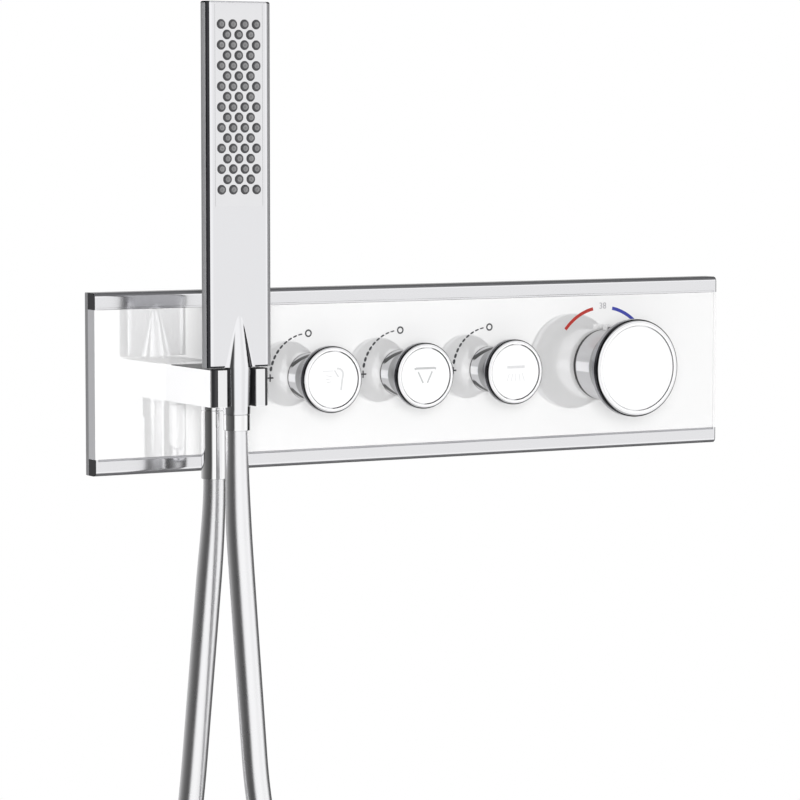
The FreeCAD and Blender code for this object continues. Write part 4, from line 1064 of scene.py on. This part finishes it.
# spray nozzles, in millimetres: radii, and distances in front of the spray plate
nozzleSet = {
    "foot": 3.15, "footUp": 0.02, "footEdge": 0.01, "play": 0.1, "tip": 2.5, "out": 1.0, "tipEdge": 0.25,
    "dimple": 1.7, "dimpleEdge": 0.15, "dimpleDeep": 0.5, "hole": 0.6, "holeFloor": 0.1, "sides": 28, "steps": 3,
    "rows": 17, "longRow": 4, "rowPitch": 6.6, "columnPitch": 8.4, "topRow": 233.3,
}


def sprayNozzles():
    # rows of four and three in turn, each nozzle with a paler dimple
    s = SimpleNamespace(**nozzleSet)
    low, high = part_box("spray_plate")
    back, stem = (low.y - high.y) / mm, s.foot - s.play
    points = rounded([
        (0, back), (stem, back), (stem, 0), (s.foot, s.footUp, s.footEdge), (s.tip, s.out, s.tipEdge),
        (s.dimple, s.out, s.dimpleEdge), (s.hole, s.out - s.dimpleDeep), (s.hole, s.holeFloor), (0, s.holeFloor),
    ], s.steps)
    layers = ["nozzle_silicone", "nozzleTip"]
    bm = bmesh.new()
    for row in range(s.rows):
        count = s.longRow - row % 2
        z = (s.topRow - row * s.rowPitch) * mm
        for column in range(count):
            x = holderX + (column - (count - 1) / 2) * s.columnPitch * mm
            for (radius, out), strip in zip(points, spin(bm, points, outFrom(low.y, x, z), s.sides)):
                for face in strip:
                    inDimple = radius < s.dimple + s.dimpleEdge / 2 and out > s.holeFloor / 2
                    face.material_index = layers.index("nozzleTip" if inDimple else "nozzle_silicone")
    shapedPiece("sprayNozzles", bm, layers, "hand_shower", "spray_nozzles")


showerShell()
sprayNozzles()
print("hand shower made")

# printed marks on the glass and pictograms on the buttons: thin closed strokes, in millimetres and degrees
inkSet = {"thick": 0.06, "sunk": 0.03}
markSet = {
    "radius": 29.2, "ringRadius": 2.1, "ringSteps": 40, "line": 1.05, "plusHalf": 2.5,
    "dashFirst": 99.0, "dashLast": 173.0, "dashes": 9, "thin": 0.85, "thick": 2.0, "gapShare": 0.22,
    "taper": (0.45, 0.85, 1, 1, 1, 0.85, 0.45),
    "scaleRadius": 40.4, "scaleWide": 2.4, "scaleSteps": 32, "hot": (101.6, 140.6), "cold": (78.6, 39.5),
    "numeral": "38", "numeralHigh": 4.4, "numeralUp": 41.4, "figureShare": 0.7,
}
# strokes of each pictogram: width, and points right of and above the button's middle
iconSet = {
    "hand": [
        (1.275, [(5.8, -7.2), (6.7, -0.3)] + arcPoints((3.4, 3.4), 4.0, -10, 100, 10)),
        (0.975, [(0.9, 6.2), (3.9, 1.6)]),
        (0.5, [(-8.0, 5.9), (0.0, 5.9)]), (0.5, [(-5.5, 2.9), (-1.3, 2.2)]),
        (0.5, [(-5.5, 0.3), (-2.6, 0.6)]), (0.5, [(-5.0, -1.8), (-1.6, -1.3)]),
    ],
    "spout": [
        (1.5, [(-8.9, 4.6), (-7.6, 5.2), (6.6, 5.2), (7.9, 4.6)]),
        (1.125, [(-6.1, 2.9), (-2.2, -4.8)]), (1.125, [(4.9, 2.9), (1.1, -4.8)]),
    ],
    "rain": [(1.875, [(-6.9, 3.5), (7.2, 3.5)])]
            + [(0.5, [(5.2 * side, -0.9), (7.0 * side, -6.2)]) for side in (-1, -0.5, 0, 0.5, 1)],
}


def stroke(bm, points, widths, y, closed=False):
    # ribbon along (x, z) points in metres, with one width or one for each point, and the ink's thickness
    count = len(points)
    front, back = y - (inkSet["thick"] - inkSet["sunk"]) * mm, y + inkSet["sunk"] * mm
    rings = []
    for i, (x, z) in enumerate(points):
        if closed:
            before, after = points[i - 1], points[(i + 1) % count]
        else:
            before, after = points[max(i - 1, 0)], points[min(i + 1, count - 1)]
        along = Vector((after[0] - before[0], after[1] - before[1])).normalized()
        wide = (widths[i] if isinstance(widths, list) else widths) * mm / 2
        corners = ((wide, front), (-wide, front), (-wide, back), (wide, back))
        rings.append([bm.verts.new((x - along.y * side, level, z + along.x * side)) for side, level in corners])
    for i in range(count if closed else count - 1):
        bridge(bm, rings[i], rings[(i + 1) % count])
    if not closed:
        bm.faces.new(rings[0])
        bm.faces.new(rings[-1])


def arcAt(x, z, radius, first, last, steps):
    return [(x + u * mm, z + v * mm) for u, v in arcPoints((0, 0), radius, first, last, steps)]


def knobMarks():
    s = SimpleNamespace(**markSet)
    span = (s.dashLast - s.dashFirst) / s.dashes
    half = s.plusHalf * mm
    bm = bmesh.new()
    for x in knobX.values():
        ring = arcAt(x, s.radius * mm, s.ringRadius, 0, 360, s.ringSteps)[:-1]
        stroke(bm, ring, s.line, glassFront, closed=True)
        for dash in range(s.dashes):
            first = s.dashFirst + dash * span
            wide = s.thin + (s.thick - s.thin) * (dash + 0.5) / s.dashes
            arc = arcAt(x, 0, s.radius, first, first + span * (1 - s.gapShare), len(s.taper) - 1)
            stroke(bm, arc, [wide * share for share in s.taper], glassFront)
        plusX = x - s.radius * mm
        stroke(bm, [(plusX - half, 0), (plusX + half, 0)], s.line, glassFront)
        for end in (-1, 1):
            stroke(bm, [(plusX, end * s.line * mm / 2), (plusX, end * half)], s.line, glassFront)
    shapedPiece("volumeMarks", bm, ["markInk"], "mixer")


def thermostatMarks():
    s = SimpleNamespace(**markSet)
    for name, span, ink in (("hotMark", s.hot, "hotInk"), ("coldMark", s.cold, "coldInk")):
        bm = bmesh.new()
        stroke(bm, arcAt(thermostatX, 0, s.scaleRadius, *span, s.scaleSteps), s.scaleWide, glassFront)
        shapedPiece(name, bm, [ink], "mixer")
    text = bpy.data.curves.new("numeral", "FONT")
    text.body = s.numeral
    text.align_x, text.align_y = "CENTER", "CENTER"
    text.size = s.numeralHigh * mm / s.figureShare
    text.extrude = inkSet["thick"] * mm / 2
    carrier = addObject("numeral", text)
    carrier.rotation_euler = (math.radians(90), 0, 0)
    carrier.location = (thermostatX, glassFront, s.numeralUp * mm)
    mesh = finalMesh(carrier)
    mesh.transform(carrier.matrix_world)
    bpy.data.objects.remove(carrier)
    mesh.materials.clear()
    mesh.materials.append(finishes["numeralInk"])
    newPiece("temperatureNumeral", mesh, "mixer")


def iconPiece(use):
    bm = bmesh.new()
    for wide, points in iconSet[use]:
        stroke(bm, [(knobX[use] + u * mm, v * mm) for u, v in points], wide, panelFront - knobSet["buttonFront"] * mm)
    shapedPiece("pictogram_" + use, bm, ["icon_" + use], "button_" + use)


knobMarks()
thermostatMarks()
for use in uses:
    iconPiece(use)
print("marks made")

# stage: pale floor, soft lamps and a studio that is bright in front, dark at both sides and grey behind
stageSet = {
    "floorHeight": -0.78, "floorHalf": 12.0, "floorColour": (0.93, 0.93, 0.93), "floorRough": 0.9,
    "whiteShare": 0.9, "whiteFrom": 0.9, "whiteTo": 2.2, "ambient": 0.46,
    # brightness round the object, level with it and raised: degrees from straight in front towards the right
    "level": [(-180, 0.62), (-160, 0.5), (-140, 0.32), (-118, 0.2), (-100, 0.13), (-70, 0.08), (-52, 0.06),
              (-38, 1.0), (6, 1.0), (22, 0.9), (38, 0.89), (50, 1.0), (70, 1.0), (78, 0.7), (84, 0.3), (92, 0.09),
              (130, 0.12), (150, 0.4), (180, 0.62)],
    "raised": [(-180, 0.6), (-150, 0.3), (-120, 0.14), (-90, 0.08), (-56, 0.06), (-42, 1.02), (58, 1.02), (74, 0.8),
               (84, 0.1), (120, 0.06), (150, 0.3), (180, 0.6)],
    # spans of the sine of the height: raised, dimmed and the top light
    "raisedSpan": (0.17, 0.33), "darkSpan": (0.6, 0.72), "dark": 0.55, "topSpan": (0.93, 0.99), "top": 0.55,
    "lamps": [((-1.35, -2.75, 0.36), 1.1, 55.5), ((0.9, 2.3, 0.8), 1.2, 34.0)],  # place, size and watts
}


def makeFloor():
    s = SimpleNamespace(**stageSet)
    corners = ((-1, -1), (1, -1), (1, 1), (-1, 1))
    mesh = bpy.data.meshes.new("floor")
    mesh.from_pydata([(x * s.floorHalf, y * s.floorHalf, s.floorHeight) for x, y in corners], [], [(0, 1, 2, 3)])
    material, place, shader = newFinish("floorPaint", {"Base Color": (*s.floorColour, 1.0), "Roughness": s.floorRough})
    camera, through = place.node("ShaderNodeLightPath").parts("Is Camera Ray", "Is Transmission Ray")
    paint = Wire(place.tree, shader.outputs["BSDF"])
    glow = place.node("ShaderNodeEmission", None, {"Color": (1, 1, 1, 1), "Strength": 1.0})
    away = place.node("ShaderNodeVectorMath", {"operation": "LENGTH"}, {0: place}, "Value")
    # the shadow's ground fades into the white around it
    white = s.whiteShare + (1 - s.whiteShare) * away.stepped(s.whiteFrom, s.whiteTo)
    mix = place.node("ShaderNodeMixShader", None, {0: (camera + through) * white, 1: paint, 2: glow})
    mix.into(place.tree.nodes["Material Output"], "Surface")
    mesh.materials.append(material)
    floor = addObject("floor", mesh)
    floor.visible_glossy = False  # metal shows the studio all round


def makeWorld():
    s = SimpleNamespace(**stageSet)
    world = bpy.data.worlds.new("studio")
    world.use_nodes = True
    background = world.node_tree.nodes["Background"]
    background.inputs["Color"].default_value = (1, 1, 1, 1)
    start = Wire(world.node_tree)
    rays = ("Is Camera Ray", "Is Glossy Ray", "Is Transmission Ray")
    camera, glossy, through = start.node("ShaderNodeLightPath").parts(*rays)
    direction = start.node("ShaderNodeTexCoord", out="Generated")
    right, back, up = start.node("ShaderNodeSeparateXYZ", None, {"Vector": direction}).parts("X", "Y", "Z")
    heading = start.maths("ARCTAN2", right, 0 - back) / (2 * math.pi) + 0.5
    height = abs(up)

    def band(stops):
        # a ramp ends at 1, so it carries half of each value
        ramp = [((angle + 180) / 360, (value / 2, value / 2, value / 2, 1)) for angle, value in stops]
        return start.node("ShaderNodeValToRGB", {"stops": ramp}, {"Fac": heading})

    grey = height.stepped(*s.raisedSpan).mixed(band(s.level), band(s.raised))  # equal in all channels, so a value
    shade = 1 - s.dark * height.stepped(*s.darkSpan)
    studio = grey * 2 * shade + s.top * height.stepped(*s.topSpan)
    mirror = glossy + through
    (camera + mirror * studio + (1 - camera - mirror) * s.ambient).into(background, "Strength")
    scene.world = world


def makeLamps():
    aim = middleOf("front_panel")
    for i, (place, size, power) in enumerate(stageSet["lamps"]):
        lamp = addObject("softLamp%d" % i, bpy.data.lights.new("softLamp%d" % i, "AREA"))
        lamp.data.shape, lamp.data.size, lamp.data.energy = "DISK", size, power
        lamp.location = place
        lamp.rotation_euler = (aim - Vector(place)).to_track_quat("-Z", "Y").to_euler()
        lamp.visible_glossy = False


makeFloor()
makeWorld()
makeLamps()
scene.view_settings.view_transform = "Standard"
print("stage made")
